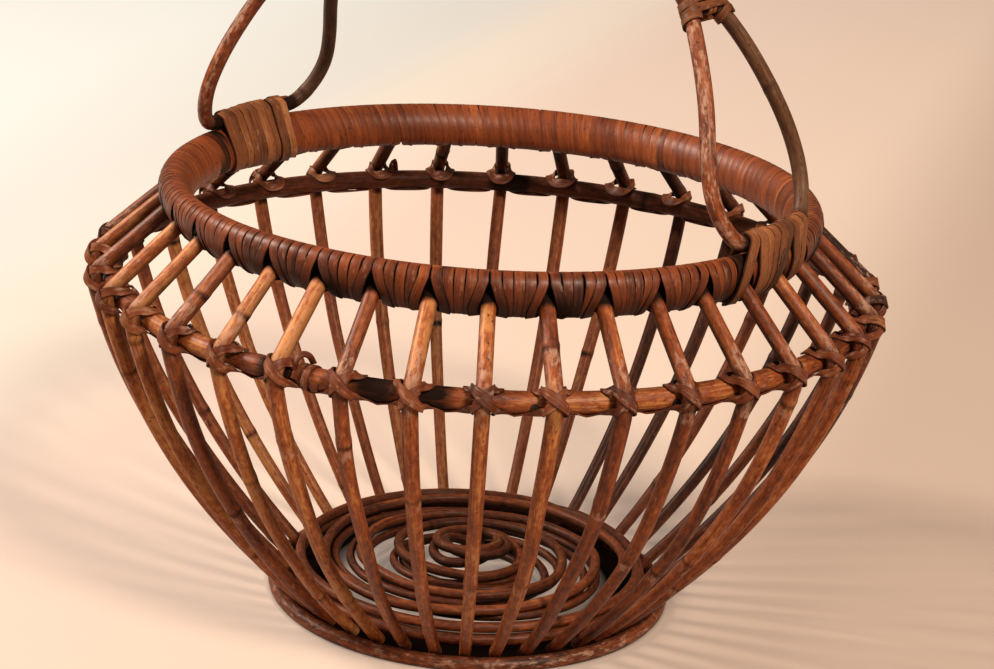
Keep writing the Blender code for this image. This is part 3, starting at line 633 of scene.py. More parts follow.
def make_hoop(name, place, rod_radius, start_azimuth, material, tone_at, stain_at, sides=12,
              waver=0.0, inner_stain=0.0, wear=0.1, floor_height=None):
    """A rod bent to a full circle, flat unless it may waver, with shaved ends that overlap."""
    count = round(math.tau * place.x / HOOP_STEP)
    overlap = SCARF_LENGTH / place.x
    waves = [(chance.randint(2, 7), chance.uniform(0.0, math.tau), chance.uniform(0.3, 1.0))
             for _ in range(3)]
    knuckles = knuckles_along(math.tau * place.x, *HOOP_KNUCKLES)
    rows = []
    for step in range(count + 1):
        azimuth = start_azimuth + (math.tau + overlap) * step / count
        walked = azimuth - start_azimuth
        first = 1 - ease(walked, 0.0, overlap)
        final = ease(walked, math.tau, math.tau + overlap)
        aside = rod_radius * 0.6 * (first - final)
        rise = waver / 2 * sum(size * math.sin(number * azimuth + phase)
                               for number, phase, size in waves)
        swell, ring, _ = knuckle_at(walked * place.x, knuckles)
        rows.append((polar(place.x + aside * 0.3, azimuth, place.y + rise - aside * 0.5),
                     polar(1.0, azimuth, 0.0),
                     rod_radius * (1 - SCARF_CUT * max(first, final)) * (1 + HOOP_SWELL * swell),
                     tone_at(azimuth), stain_at(azimuth) + 0.5 * ring, inner_stain, wear))
    return bend_rod(name, material, rows, sides, floor_height)


# Painted shade: the hoops hidden in the rim are kept dark, so the gaps in the binding show dark
for node, centre in (("rim_outer_hoop", outer_hoop_centre), ("rim_inner_hoop", inner_hoop_centre)):
    fit(make_hoop(f"bent_{node}", centre, RIM_ROD_RADIUS, math.pi / 2, core_finish,
                  lambda azimuth: 0.3, lambda azimuth: 0.4, 10), "core_rattan", node)

# %% [markdown]
# The shoulder hoop is the thickest rod and shows all its history: honey-coloured where the light
# kept it pale, red where oil went in deep, nearly black where something was spilt. Its places are
# given one by one round the hoop. Noise could place them, but then they wouldn't be where the real
# ones are. The foot ring stands on the table, which has worn a narrow flat under it and scuffed
# its sides.

# %% Shoulder hoop and foot ring
SPOT_WIDTH = math.radians(7.0)
SPILL_WIDTH = math.radians(4.2)
HONEY_PLACES = [math.radians(place) for place in (312, 322, 330, 340, 350, 205, 262, 250)]
RED_PLACES = [math.radians(place) for place in (301, 283, 222)]
DARK_PLACES = [math.radians(place) for place in (296.5, 275, 289, 120, 60)]


def spots(azimuth, places, width=SPOT_WIDTH):
    """How near an azimuth is to any of several places, from 0 to 1."""
    nearest = min(abs((azimuth - place + math.pi) % math.tau - math.pi) for place in places)
    return 1 - ease(nearest, width * 0.4, width)


def hoop_tone(azimuth):
    """The hoop is honey-coloured in some places, redder in others."""
    return (0.4 + 0.36 * spots(azimuth, HONEY_PLACES)
            + 0.2 * spots(azimuth, RED_PLACES, SPILL_WIDTH))


def hoop_stain(azimuth):
    """Old spills darken a few places of the hoop."""
    return 0.1 + 0.85 * spots(azimuth, DARK_PLACES, SPILL_WIDTH)


# Painted shade on the inner sides of the shoulder hoop and the foot ring
fit(make_hoop("bent_shoulder_hoop", hoop_centre, HOOP_ROD_RADIUS, math.radians(262), rod_finish,
              hoop_tone, hoop_stain, 16, inner_stain=0.5, wear=0.3), "hoop_rattan", "shoulder_hoop")
fit(make_hoop("bent_foot_ring", foot_centre, FOOT_ROD_RADIUS, math.radians(30), rod_finish,
              lambda azimuth: 0.38 + 0.1 * math.sin(3 * azimuth), lambda azimuth: 0.12, 14,
              inner_stain=0.6, wear=0.6, floor_height=0.0), "foot_rattan", "foot_ring")

# %% [markdown]
# The rim is bound with about two hundred turns of one flat cane strip. Over the top and down the
# inside the turns lie evenly side by side. On the outer face they must pass between the ribs, so
# they fan apart round each rib and leave a dark pointed gap above it. A ridged tube would be
# lighter, but its turns couldn't part. So the strip is planned turn by turn: an even place in its
# bay, and how far the ribs push it aside.

# %% Where the rim's turns lie
CANE_THICKNESS = 0.7 * MM
RIM_TURN_WIDTH = 3.7 * MM
PUSH_REACH = 2.6 * MM
FAN_START = math.radians(58.0)
FAN_FULL = math.radians(-12.0)
FAN_END = math.radians(-50.0)
FAN_GONE = math.radians(-115.0)


def fan_share(angle):
    """How far the turns are pushed aside by the ribs, at an angle round the rim's section."""
    straight = min(max((FAN_START - angle) / (FAN_START - FAN_FULL), 0.0), 1.0)
    return straight * (1 - ease(angle, FAN_END, FAN_GONE))


def push_aside(distance, half_width):
    """How far a rib pushes a turn that would lie at a distance from the rib's middle."""
    return (RIB_RADIUS + GAP) * math.exp(-max(distance - half_width, 0.0) / PUSH_REACH)


def rim_turns():
    """Every turn's even azimuth, its push, its lap towards a rib, its width, tone and sway."""
    turns = []
    for bay in range(RIB_COUNT):
        start = rib_azimuth(bay)
        width = (rib_azimuth(bay + 1) - start) * RIM_RADIUS
        count = round(width / RIM_TURN_WIDTH + chance.uniform(-0.45, 0.45))
        for turn in range(count):
            place = (turn + 0.5) / count * width
            half_width = width / count / 2
            left = push_aside(place, half_width)
            right = push_aside(width - place, half_width)
            turns.append((start + place / RIM_RADIUS, (left - right) / RIM_RADIUS,
                          (right - left) / (RIB_RADIUS + GAP),
                          half_width * chance.uniform(0.95, 1.05),
                          chance.gauss(0.0, 0.1), chance.uniform(-0.3, 0.3) * MM))
    return turns


turns = rim_turns()
print("turns round the rim:", len(turns))

# %% [markdown]
# Then each turn is walked once round the rim's leaning oval section. It starts even on top, fans
# out down the outer face, lies on its neighbour's edge where they crowd, comes together again
# underneath and is carried on to the next turn's place up the inside. The turns are darker where
# they fan out and lap, and painted shadow darkens them beside the handle.

# %% Rim binding
RIM_TURN_STEPS = 24
LAP_TILT = math.radians(11.0)
LAP_LIFT = 0.3 * MM
CARRY_START = math.radians(100.0)
CARRY_END = math.radians(262.0)
WORN_ANGLE = math.radians(48.0)
LASHING_SHADOWS = [math.radians(place) for place in (-11.5, 192.0)]
SHADOW_WIDTH = math.radians(2.6)
RIM_SPILLS = [math.radians(place) for place in (279.0, 316.0, 100.0)]
RIM_SPILL_WIDTH = math.radians(2.4)
# Painted shade along the edges of the rim's turns
RIM_EDGE_SHADE = 0.8


def rim_point(angle, azimuth, lift):
    """A point on the rim's leaning oval section, and the direction that faces out of it."""
    place = (rim_centre + (RIM_HALF_DEPTH + lift) * math.cos(angle) * rim_level
             + (rim_half_height + lift) * math.sin(angle) * rim_upright)
    facing = (math.cos(angle) / RIM_HALF_DEPTH * rim_level
              + math.sin(angle) / rim_half_height * rim_upright).normalized()
    return polar(place.x, azimuth, place.y), polar(facing.x, azimuth, facing.y)


def make_rim_binding():
    """One strip of cane wound round the whole rim."""
    rows = []
    tone_drift = 0.0
    for index, (even, pushed, lap, half_width, tone, sway) in enumerate(turns):
        advance = (turns[(index + 1) % len(turns)][0] - even) % math.tau
        tone_drift = 0.8 * tone_drift + chance.gauss(0.0, 0.03)
        for step in range(RIM_TURN_STEPS):
            angle = math.pi / 2 - math.tau * step / RIM_TURN_STEPS
            fanned = fan_share(angle)
            carried = ease(-angle, CARRY_START, CARRY_END)
            azimuth = (even + fanned * pushed + carried * advance
                       + sway * math.sin(angle) / RIM_RADIUS)
            lift = abs(lap) * fanned * LAP_LIFT - CANE_THICKNESS / 2
            point, facing = rim_point(angle, azimuth, lift)
            tilt = LAP_TILT * fanned * lap
            sideways = Vector((-math.sin(azimuth), math.cos(azimuth), 0.0))
            inside = 1 - ease(abs(angle + math.pi), math.radians(50.0), math.radians(95.0))
            rows.append((point, facing * math.cos(tilt) + sideways * math.sin(tilt),
                         half_width - 0.05 * MM + 0.2 * inside * MM,
                         0.4 + (tone + tone_drift) * (1 - 0.4 * inside)
                         - 0.2 * fanned + 0.12 * inside,
                         # Darker where the turns fan and lap, painted shadow beside the lashings,
                         # and old spills
                         0.05 + 0.22 * fanned * (1 + abs(lap))
                         + 0.9 * spots(azimuth, LASHING_SHADOWS, SHADOW_WIDTH)
                         + 0.6 * fanned * spots(azimuth, RIM_SPILLS, RIM_SPILL_WIDTH),
                         0.5 * (1 - ease(abs(angle - WORN_ANGLE), 0.0, math.radians(30.0)))))
    return bend_cane("wound_rim_binding", cane_finish, CANE_THICKNESS, RIM_EDGE_SHADE, rows)


fit(make_rim_binding(), "rim_cane", "rim_binding")

# %% [markdown]
# One strip of cane laces every rib to the shoulder hoop. At each rib it climbs over the rib, goes
# over the hoop and behind it, comes back over the top and crosses its own first pass down over
# the rib. Then it runs under the hoop to the next rib. Two crossed bands would look alike from
# the front, but only the whole path shows right from inside. It is worked out from the sizes of
# hoop and rib, as corners that are given by their place along the hoop, their angle round it and
# their reach.

# %% The path of the lacing
LACING_WIDTH = 4.2 * MM
LACING_THICKNESS = 0.6 * MM
CROSSING_ANGLE = math.radians(17.0)
CROSSING_CLIMB = math.radians(30.0)
UNDER_HOOP, LOW_FRONT, HOOP_TOP, HOOP_BACK = (math.radians(angle) for angle in (-95, -48, 84, 140))


def crossing(layer, climb):
    """Places of one pass over a rib: along the hoop, angle and reach round it, and its turn."""
    reach = RIB_RADIUS + 0.4 * LACING_THICKNESS + layer * (LACING_THICKNESS + 0.1 * MM)
    places = []
    for step in range(-2, 3):
        turned = math.radians(45.0) * step
        places.append((reach * math.sin(turned), CROSSING_ANGLE + climb * CROSSING_CLIMB * step / 2,
                       wrap_radius + reach * math.cos(turned), turned))
    return places


def lacing_places():
    """One rib's share of the lacing: up over the rib, behind the hoop, down again and along."""
    on_hoop = HOOP_ROD_RADIUS + 0.7 * LACING_THICKNESS
    beside = RIB_RADIUS + 0.42 * LACING_WIDTH
    half_bay = math.pi * shoulder_radius / RIB_COUNT
    return [
        (-0.75 * half_bay, math.radians(-85.0), on_hoop, 0.0),
        (-beside, LOW_FRONT, on_hoop, 0.0),
        *crossing(0, 1.0),
        (beside, HOOP_TOP, on_hoop, 0.0),
        (0.5 * beside, HOOP_BACK, on_hoop, 0.0),
        (-0.5 * beside, HOOP_BACK, on_hoop + LACING_THICKNESS, 0.0),
        (-beside, HOOP_TOP, on_hoop, 0.0),
        *crossing(1, -1.0),
        (beside, LOW_FRONT, on_hoop, 0.0),
        (0.75 * half_bay, UNDER_HOOP, on_hoop, 0.0),
    ]


print("corners of the lacing at each rib:", len(lacing_places()))

# %% [markdown]
# The corners of all ribs make one long line, smoothed into a curve. No two crossings are pulled
# alike, so each has its own slack, twist and tone. A strip that is bent hard over a rib's edge
# gathers itself and gets narrower there, and the width follows that.

# %% Shoulder lacing
LACING_STEPS = 4
LACING_PINCH = 0.3
# The last value is painted shade along the lacing's edges
LACING_STAIN, LACING_WEAR, LACING_EDGE_SHADE = 0.12, 0.5, 0.3


def hoop_point(reach, angle, azimuth):
    """A point round the shoulder hoop's section, and the direction that faces out of the hoop."""
    out = Vector((math.cos(angle), math.sin(angle)))
    return (polar(shoulder_radius + reach * out.x, azimuth, SHOULDER_HEIGHT + reach * out.y),
            polar(out.x, azimuth, out.y))


def between_corners(values, steps, count):
    """The values at every ring of a smoothed path, from those at its corners."""
    rings = []
    for index in range(count):
        corner = min(index // steps, len(values) - 2)
        share = min(index / steps - corner, 1.0)
        rings.append(values[corner] + share * (values[corner + 1] - values[corner]))
    return rings


def make_lacing():
    """The lacing as one continuous strip."""
    rows = []
    for index in range(RIB_COUNT):
        azimuth = rib_azimuth(index)
        tone = 0.45 + chance.uniform(-0.2, 0.28)
        slack = chance.uniform(0.9, 1.12)
        twist = chance.uniform(-0.12, 0.12)
        for along, angle, reach, turned in lacing_places():
            position = azimuth + along * slack / shoulder_radius
            corner, out = hoop_point(reach, angle + twist, position)
            sideways = Vector((-math.sin(position), math.cos(position), 0.0))
            rows.append((corner, math.sin(turned) * sideways + math.cos(turned) * out,
                         LACING_WIDTH / 2 * (1 - LACING_PINCH * abs(math.sin(turned))), tone))
    corners, facings, *looks = zip(*rows)
    path, facings = (smooth_through(places, LACING_STEPS) for places in (corners, facings))
    looks = (between_corners(values, LACING_STEPS, len(path)) for values in looks)
    return bend_cane("wound_shoulder_lacing", lacing_finish, LACING_THICKNESS, LACING_EDGE_SHADE,
                     [(*row, LACING_STAIN, LACING_WEAR) for row in zip(path, facings, *looks)])


fit(make_lacing(), "lacing_cane", "shoulder_lacing")

# %% [markdown]
# The floor hangs inside two stacked rings, which lie on the ribs' inner ends just above the foot
# ring. They are made as the other hoops are, and lean inwards one on the other.

# %% Floor rings
FLOOR_ROD_RADIUS = 2.2 * MM
FLOOR_UPPER_ROD_RADIUS = 2.0 * MM
FLOOR_SETBACK = 2.0 * MM
FLOOR_LEAN = math.radians(15.0)

lower_ring_centre = (tail_start + FLOOR_SETBACK * tail_inward
                     + (RIB_FOOT_RADIUS + GAP + FLOOR_ROD_RADIUS) * tail_normal)
ring_stack = FLOOR_ROD_RADIUS + GAP + FLOOR_UPPER_ROD_RADIUS
upper_ring_centre = (lower_ring_centre
                     + ring_stack * Vector((-math.sin(FLOOR_LEAN), math.cos(FLOOR_LEAN))))
# Painted shade on the inner sides of the floor rings
for node, centre, radius, start in (
        ("floor_ring_lower", lower_ring_centre, FLOOR_ROD_RADIUS, 200),
        ("floor_ring_upper", upper_ring_centre, FLOOR_UPPER_ROD_RADIUS, 80)):
    fit(make_hoop(f"bent_{node}", centre, radius, math.radians(start), rod_finish,
                  lambda azimuth: 0.4, lambda azimuth: 0.12, inner_stain=0.5), "floor_rattan", node)
print("upper floor ring at", round(upper_ring_centre.y / MM, 1), "mm")

# %% [markdown]
# The floor itself is one long rod coiled by hand. A spiral modifier would make it even, and a
# hand-wound coil never is: the turns bunch up on one side, rise and fall a little over each
# other, and end in a knot of tight turns at the middle. So the spiral gets a slow wobble, two
# waves and a loose knot.

# %% Coiled floor rod
SPIRAL_ROD_RADIUS = 2.0 * MM
SPIRAL_TURNS = 4.25
SPIRAL_LEAD_TURNS = 0.25
SPIRAL_INNER_RADIUS = 6.0 * MM
SPIRAL_WOBBLE_SHARE = 0.16
SPIRAL_WOBBLE_TURNS = 1.5
SPIRAL_SHIFT = Vector((-3.5, 5.5, 0.0)) * MM
SPIRAL_STEP = 2.0 * MM
SPIRAL_KNUCKLES = ((20, 60), (70, 130))
STEPS_TO_A_TURN = 72
STEPS_TO_A_CORNER = 9
KNOT_STEPS = 21
KNOT_TURNS = 1.9
# Painted shade on the undersides of the floor rods
FLOOR_UNDERSIDE_SHADE = 0.7
UP = Vector((0.0, 0.0, 1.0))


def spiral_knot(inner_end):
    """The loose turns at the coil's middle, which lie on one another."""
    middle = Vector((SPIRAL_SHIFT.x, SPIRAL_SHIFT.y, inner_end.z))
    turned = math.atan2(inner_end.y - middle.y, inner_end.x - middle.x)
    knot = []
    for step in range(1, KNOT_STEPS + 1):
        share = step / KNOT_STEPS
        radius = (6.0 + 8.5 * ease(share, 0.0, 0.4) - 3.5 * ease(share, 0.5, 1.0)) * MM
        rise = (4.1 * ease(share, 0.0, 0.25) + 1.2 * math.sin(9.0 * share)) * MM
        knot.append(middle + polar(radius, turned + KNOT_TURNS * math.tau * share, rise))
    return knot


def make_spiral():
    """The coiled floor rod."""
    outer = upper_ring_centre.x - FLOOR_UPPER_ROD_RADIUS - GAP - SPIRAL_ROD_RADIUS
    pitch = (outer - SPIRAL_INNER_RADIUS) / (SPIRAL_TURNS - SPIRAL_LEAD_TURNS)
    line = []
    for step in range(round(SPIRAL_TURNS * STEPS_TO_A_TURN) + 1):
        turned = step / STEPS_TO_A_TURN
        settled = max(turned - SPIRAL_LEAD_TURNS, 0.0)
        wobble = SPIRAL_WOBBLE_SHARE * pitch * math.sin(math.tau * settled / SPIRAL_WOBBLE_TURNS)
        radius = outer - pitch * settled + min(wobble, 0.0)
        loose = ease(settled, 0.1, 0.8)
        radius += loose * 1.3 * MM * math.sin(math.tau * settled * 2.3 + 1.0)
        height = upper_ring_centre.y + loose * 0.7 * MM * math.sin(math.tau * settled * 1.7)
        line.append(polar(radius, math.tau * turned, height) + SPIRAL_SHIFT * (1 - radius / outer))
    corners = line[::STEPS_TO_A_CORNER] + spiral_knot(line[-1])
    path = even_steps(smooth_through(corners, STEPS_TO_A_CORNER), SPIRAL_STEP)
    knuckles = knuckles_along(SPIRAL_STEP * len(path), *SPIRAL_KNUCKLES)
    rows = []
    for step, point in enumerate(path):
        swell, ring, _ = knuckle_at(step * SPIRAL_STEP, knuckles)
        rows.append((point, UP, SPIRAL_ROD_RADIUS * (1 + HOOP_SWELL * swell),
                     0.45 + 0.15 * math.sin(step * 0.05),
                     0.12 + 0.35 * ease(step / len(path), 0.3, 0.9) + 0.4 * ring, FLOOR_UNDERSIDE_SHADE, 0.0))
    return bend_rod("coiled_floor_rod", rod_finish, rows)


fit(make_spiral(), "floor_rattan", "floor_spiral")

# %% [markdown]
# The floor has been mended: thinner rods wander under the coil and fill the gaps that it leaves.
# A strand is an uneven spiral of its own. Its ends lie under the coil's turns, where the maker
# hid them. One strand is bent here. Two more follow at the end, among the other small pieces.

# %% Loose floor strand
STRAND_RADIUS = 1.7 * MM
STRAND_SIDES = 10
STRAND_WANDER = 2.6 * MM
STRAND_STEPS_TO_A_TURN = 32
STRAND_REACH = 52 * MM


def make_strand(name, start, outer, pitch, steps, drop):
    """A thinner rod that winds inwards under the coil, from an azimuth in degrees."""
    corners = []
    for step in range(steps):
        turned = step / STRAND_STEPS_TO_A_TURN
        radius = outer - pitch * turned + STRAND_WANDER * math.sin(0.37 * step)
        azimuth = math.radians(start) + math.tau * turned
        corners.append(polar(radius, azimuth, upper_ring_centre.y - drop)
                       + SPIRAL_SHIFT * (1 - radius / STRAND_REACH))
    path = even_steps(smooth_through(corners, 3), SPIRAL_STEP)
    rows = [(point, UP, STRAND_RADIUS, 0.35, 0.3 + 0.2 * math.sin(0.11 * step), FLOOR_UNDERSIDE_SHADE, 0.0)
            for step, point in enumerate(path)]
    return fit(bend_rod(name, rod_finish, rows, STRAND_SIDES), "floor_rattan")


make_strand("loose_floor_strand", 315.0, 46 * MM, 11 * MM, 81, 4.0 * MM)

# %% [markdown]
# The handle is two rods side by side. Over the basket they are bound together into one grip.
# Lower down they spread into a teardrop loop at each end, and the loop's foot is lashed onto the
# rim. The arch is half an oval. The teardrops were measured from the photo as shares of their
# width and height, and the right one is narrower than the left one.

# %% The handle's arch and loops
HANDLE_ROD_RADIUS = 2.85 * MM
HANDLE_CROWN_RISE = 34.5 * MM
HANDLE_CENTRE_DROP = 63.0 * MM
RIGHT_LOOP_HALF_WIDTH = 32.0 * MM
LEFT_LOOP_HALF_WIDTH = 37.0 * MM
LOOP_HEIGHT = 84.0 * MM
LOOP_SHARES = ((0.0, 0.0), (0.42, 0.0), (0.72, 0.015), (0.92, 0.1), (1.0, 0.22),
               (0.925, 0.365), (0.73, 0.545), (0.49, 0.75), (0.27, 0.9))
LOOP_CURVE_STEPS = 8

rim_top_rise = math.hypot(RIM_HALF_DEPTH * rim_level.y, rim_half_height * rim_upright.y)
rim_top_out = ((RIM_HALF_DEPTH ** 2 * rim_level.y * rim_level.x
                + rim_half_height ** 2 * rim_upright.y * rim_upright.x) / rim_top_rise)
handle_foot = Vector((rim_centre.x + rim_top_out,
                      rim_centre.y + rim_top_rise + GAP + HANDLE_ROD_RADIUS))
arch_height = handle_foot.y - HANDLE_CENTRE_DROP
arch_rise = HANDLE_CENTRE_DROP + LOOP_HEIGHT + HANDLE_CROWN_RISE
arch_reach = handle_foot.x / math.cos(math.asin(HANDLE_CENTRE_DROP / arch_rise))
neck_angle = math.asin((HANDLE_CENTRE_DROP + LOOP_HEIGHT) / arch_rise)
rod_half_spacing = HANDLE_ROD_RADIUS + GAP / 2


def arch_length(angle):
    """Length along the arch for a small step of its angle, as a share of that step."""
    return math.hypot(arch_reach * math.sin(angle), arch_rise * math.cos(angle))


def arch_normal(angle):
    """The direction out of the arch, as out and up, at an angle of its oval."""
    return Vector((math.cos(angle) / arch_reach, math.sin(angle) / arch_rise)).normalized()


def arch_point(angle, outward=0.0, sideways=0.0):
    """A point over the arch at an angle of its oval, shifted out and sideways."""
    normal = arch_normal(angle)
    return Vector((arch_reach * math.cos(angle) + outward * normal.x, sideways,
                   arch_height + arch_rise * math.sin(angle) + outward * normal.y))


def reach_at(height):
    """The arch's distance from the axis at a height above its feet."""
    return arch_reach * math.cos(math.asin((HANDLE_CENTRE_DROP + height) / arch_rise))


def loop_line(half_width):
    """Spread and rise along one half of a foot loop, from the foot's middle to the neck."""
    places = [Vector((half_width * width, LOOP_HEIGHT * rise)) for width, rise in LOOP_SHARES]
    places.append(Vector((rod_half_spacing, LOOP_HEIGHT)))
    places[0].x = GAP / 2
    line = smooth_through(places, LOOP_CURVE_STEPS)
    for place in line[len(line) // 2:]:
        place.x = max(place.x, rod_half_spacing)
    return line


def loop_point(place):
    """A point of the loop's line, bent round the basket and leaning in with the arch."""
    bend = place.x / handle_foot.x
    return Vector((reach_at(place.y) * math.cos(bend), handle_foot.x * math.sin(bend),
                   handle_foot.y + place.y))


print("handle rises to", round((arch_height + arch_rise) / MM, 1), "mm")

# %% [markdown]
# Each rod runs from the middle of one loop's foot up through the neck, over the arch and down to
# the other foot. The back rod is older and greyer. Painted shadow darkens both rods where they go
# under the lashings, and painted shade lies on the sides that face in.

# %% Handle rods
HANDLE_STEP = 2.0 * MM
HANDLE_SIDES = 16
HANDLE_KNUCKLES = ((30, 120), (110, 190))
HANDLE_SWELL = 0.05
ARCH_STEPS = 60


def make_handle_rod(node, side, start_tone, end_tone, wear, material):
    """One of the two bent handle rods, from the x > 0 foot over to the other."""
    leg = [loop_point(place) for place in loop_line(RIGHT_LOOP_HALF_WIDTH)]
    far_leg = [Vector((-1, 1, 1)) * loop_point(place)
               for place in reversed(loop_line(LEFT_LOOP_HALF_WIDTH))]
    arch = [arch_point(neck_angle + (math.pi - 2 * neck_angle) * step / ARCH_STEPS,
                       sideways=rod_half_spacing) for step in range(1, ARCH_STEPS)]
    path = even_steps([Vector((1, side, 1)) * point for point in leg + arch + far_leg], HANDLE_STEP)
    count = len(path)
    knuckles = knuckles_along(HANDLE_STEP * count, *HANDLE_KNUCKLES)
    rows = []
    for step, point in enumerate(path):
        swell, ring, _ = knuckle_at(step * HANDLE_STEP, knuckles)
        # Painted shadow where the rods go under the lashings
        lashing_shadow = ease(point.z - handle_foot.y, 2.5 * MM, 0.5 * MM)
        rows.append((point, Vector((0.5 * math.copysign(1.0, point.x), side, 0.0)),
                     HANDLE_ROD_RADIUS * (1 + HANDLE_SWELL * swell),
                     start_tone + (end_tone - start_tone) * step / count,
                     # After the dirt and painted shadow comes painted shade on the rods' inner
                     # sides
                     0.3 * ring + 0.9 * lashing_shadow, 0.35, wear))
    return fit(bend_rod(f"bent_{node}", material, rows, HANDLE_SIDES), "handle_rattan", node)


make_handle_rod("handle_rod_back", 1.0, 0.5, 0.3, 0.3, worn_finish)
make_handle_rod("handle_rod_front", -1.0, 0.48, 0.42, 0.85, rod_finish)

# %% [markdown]
# A strip of cane winds round both handle rods at the grip, and a duller one where the rods part.
# A helix round one oval would cut into the rods or float over them. So each turn is drawn taut
# round the two rods' own circles: a smooth outline that touches both and gets wider as they
# spread.

# %% Grip and neck windings
STRIP_WIDTH = 3.3 * MM
STRIP_THICKNESS = 0.8 * MM
# The last value is painted shade along the strips' edges
STRIP_STAIN, STRIP_WEAR, STRIP_EDGE_SHADE = 0.1, 0.3, 0.7
GRIP_PITCH = 3.5 * MM
GRIP_POINTS = 18
GRIP_LENGTH = 85.0 * MM
NECK_LEAD_LENGTH = 16.0 * MM
NECK_LENGTH = 36.0 * MM
WINDING_TONE = 0.4


def taut_outline(circles, angle):
    """A point on a line drawn taut round circles of a plane, where it faces an angle."""
    direction = Vector((math.cos(angle), math.sin(angle)))
    centre, radius = max(circles, key=lambda circle: circle[0].dot(direction) + circle[1])
    return centre + radius * direction, direction


def spread_at(line, height):
    """Half the rods' spacing at a height of a loop's upper part, and a level cut's stretch."""
    for end, start in zip(line[:0:-1], line[-2::-1]):
        if start.y <= height <= end.y:
            rise = max(end.y - start.y, 1e-9)
            spacing = start.x + (height - start.y) / rise * (end.x - start.x)
            return spacing, math.hypot(1.0, (end.x - start.x) / rise)
    return rod_half_spacing, 1.0


def make_winding(name, start_angle, length, half_width, material, slot, node):
    """Flat cane wound round both handle rods, from an angle of the arch over a length of it."""
    line = loop_line(half_width)
    angles = [start_angle]
    walked = 0.0
    while walked < abs(length):
        angles.append(angles[-1] + math.copysign(GRIP_PITCH / GRIP_POINTS, length)
                      / arch_length(angles[-1]))
        walked += GRIP_PITCH / GRIP_POINTS
    rows = []
    for step, angle in enumerate(angles):
        if step % GRIP_POINTS == 0:
            turn_tone = chance.gauss(0.0, 0.08)
        spacing, stretch = spread_at(line, arch_rise * math.sin(angle) - HANDLE_CENTRE_DROP)
        reach = HANDLE_ROD_RADIUS * (1 + 0.5 * (stretch - 1)) + 0.3 * GAP + STRIP_THICKNESS / 2
        circles = [(Vector((0.0, spacing)), reach), (Vector((0.0, -spacing)), reach)]
        place, direction = taut_outline(circles, math.tau * step / GRIP_POINTS + 0.01)
        out = arch_normal(angle)
        rows.append((arch_point(angle, place.x, place.y),
                     Vector((direction.x * out.x, direction.y, direction.x * out.y)),
                     STRIP_WIDTH / 2, WINDING_TONE + turn_tone, STRIP_STAIN, STRIP_WEAR))
    return fit(bend_cane(name, material, STRIP_THICKNESS, STRIP_EDGE_SHADE, rows), slot, node)


neck_lead = NECK_LEAD_LENGTH / arch_length(neck_angle)
make_winding("wound_handle_grip", math.pi / 2 - GRIP_LENGTH / 2 / arch_length(math.pi / 2),
             GRIP_LENGTH, RIGHT_LOOP_HALF_WIDTH, cane_finish, "grip_cane", "handle_grip_binding")
make_winding("wound_neck_right", neck_angle - neck_lead, NECK_LENGTH,
             RIGHT_LOOP_HALF_WIDTH, lashing_finish, "neck_cane", "neck_lashing_right")
make_winding("wound_neck_left", math.pi - neck_angle + neck_lead, -NECK_LENGTH,
             LEFT_LOOP_HALF_WIDTH, lashing_finish, "neck_cane", "neck_lashing_left")

# %% [markdown]
# Each loop's foot is tied down by nine wide turns of dull cane round the rim and the rod
# together. They are drawn taut too, round the rim's oval and the rod's circle. Like the rim's own
# turns they must pass between the ribs outside, so they lean to one side as they go down. The
# lean is eased by the length walked along the strip, because by angle it would come all at once
# where the line is straight.

# %% Foot lashings
LASHING_HALF_SPAN = 20.0 * MM
LASHING_TURNS = 9
LASHING_HALF_WIDTH = 2.4 * MM
LASHING_STEPS = 36
LASHING_LEAN = 6.0 * MM
LASHING_FAN_LENGTH = 19.0 * MM
LASHING_CARRY_START = math.radians(110.0)
LEFT_LASHING_SHIFT = -3.5 * MM
RIM_CIRCLES = 48


def rise_at(line, width):
    """The height of a foot loop's rod above the rim, at a distance from the foot's middle."""
    for start, end in zip(line[:-1], line[1:]):
        if start.x <= width <= end.x and end.x > start.x:
            return start.y + (width - start.x) / (end.x - start.x) * (end.y - start.y)
    return 0.0


def between_ribs(azimuth, half_width):
    """The nearest azimuth at which a strip of that half width is clear of every rib."""
    clear = (RIB_RADIUS + GAP + half_width) / RIM_RADIUS
    for index in range(RIB_COUNT):
        offset = (azimuth - rib_azimuth(index) + math.pi) % math.tau - math.pi
        if abs(offset) < clear:
            return azimuth + math.copysign(clear, offset) - offset
    return azimuth


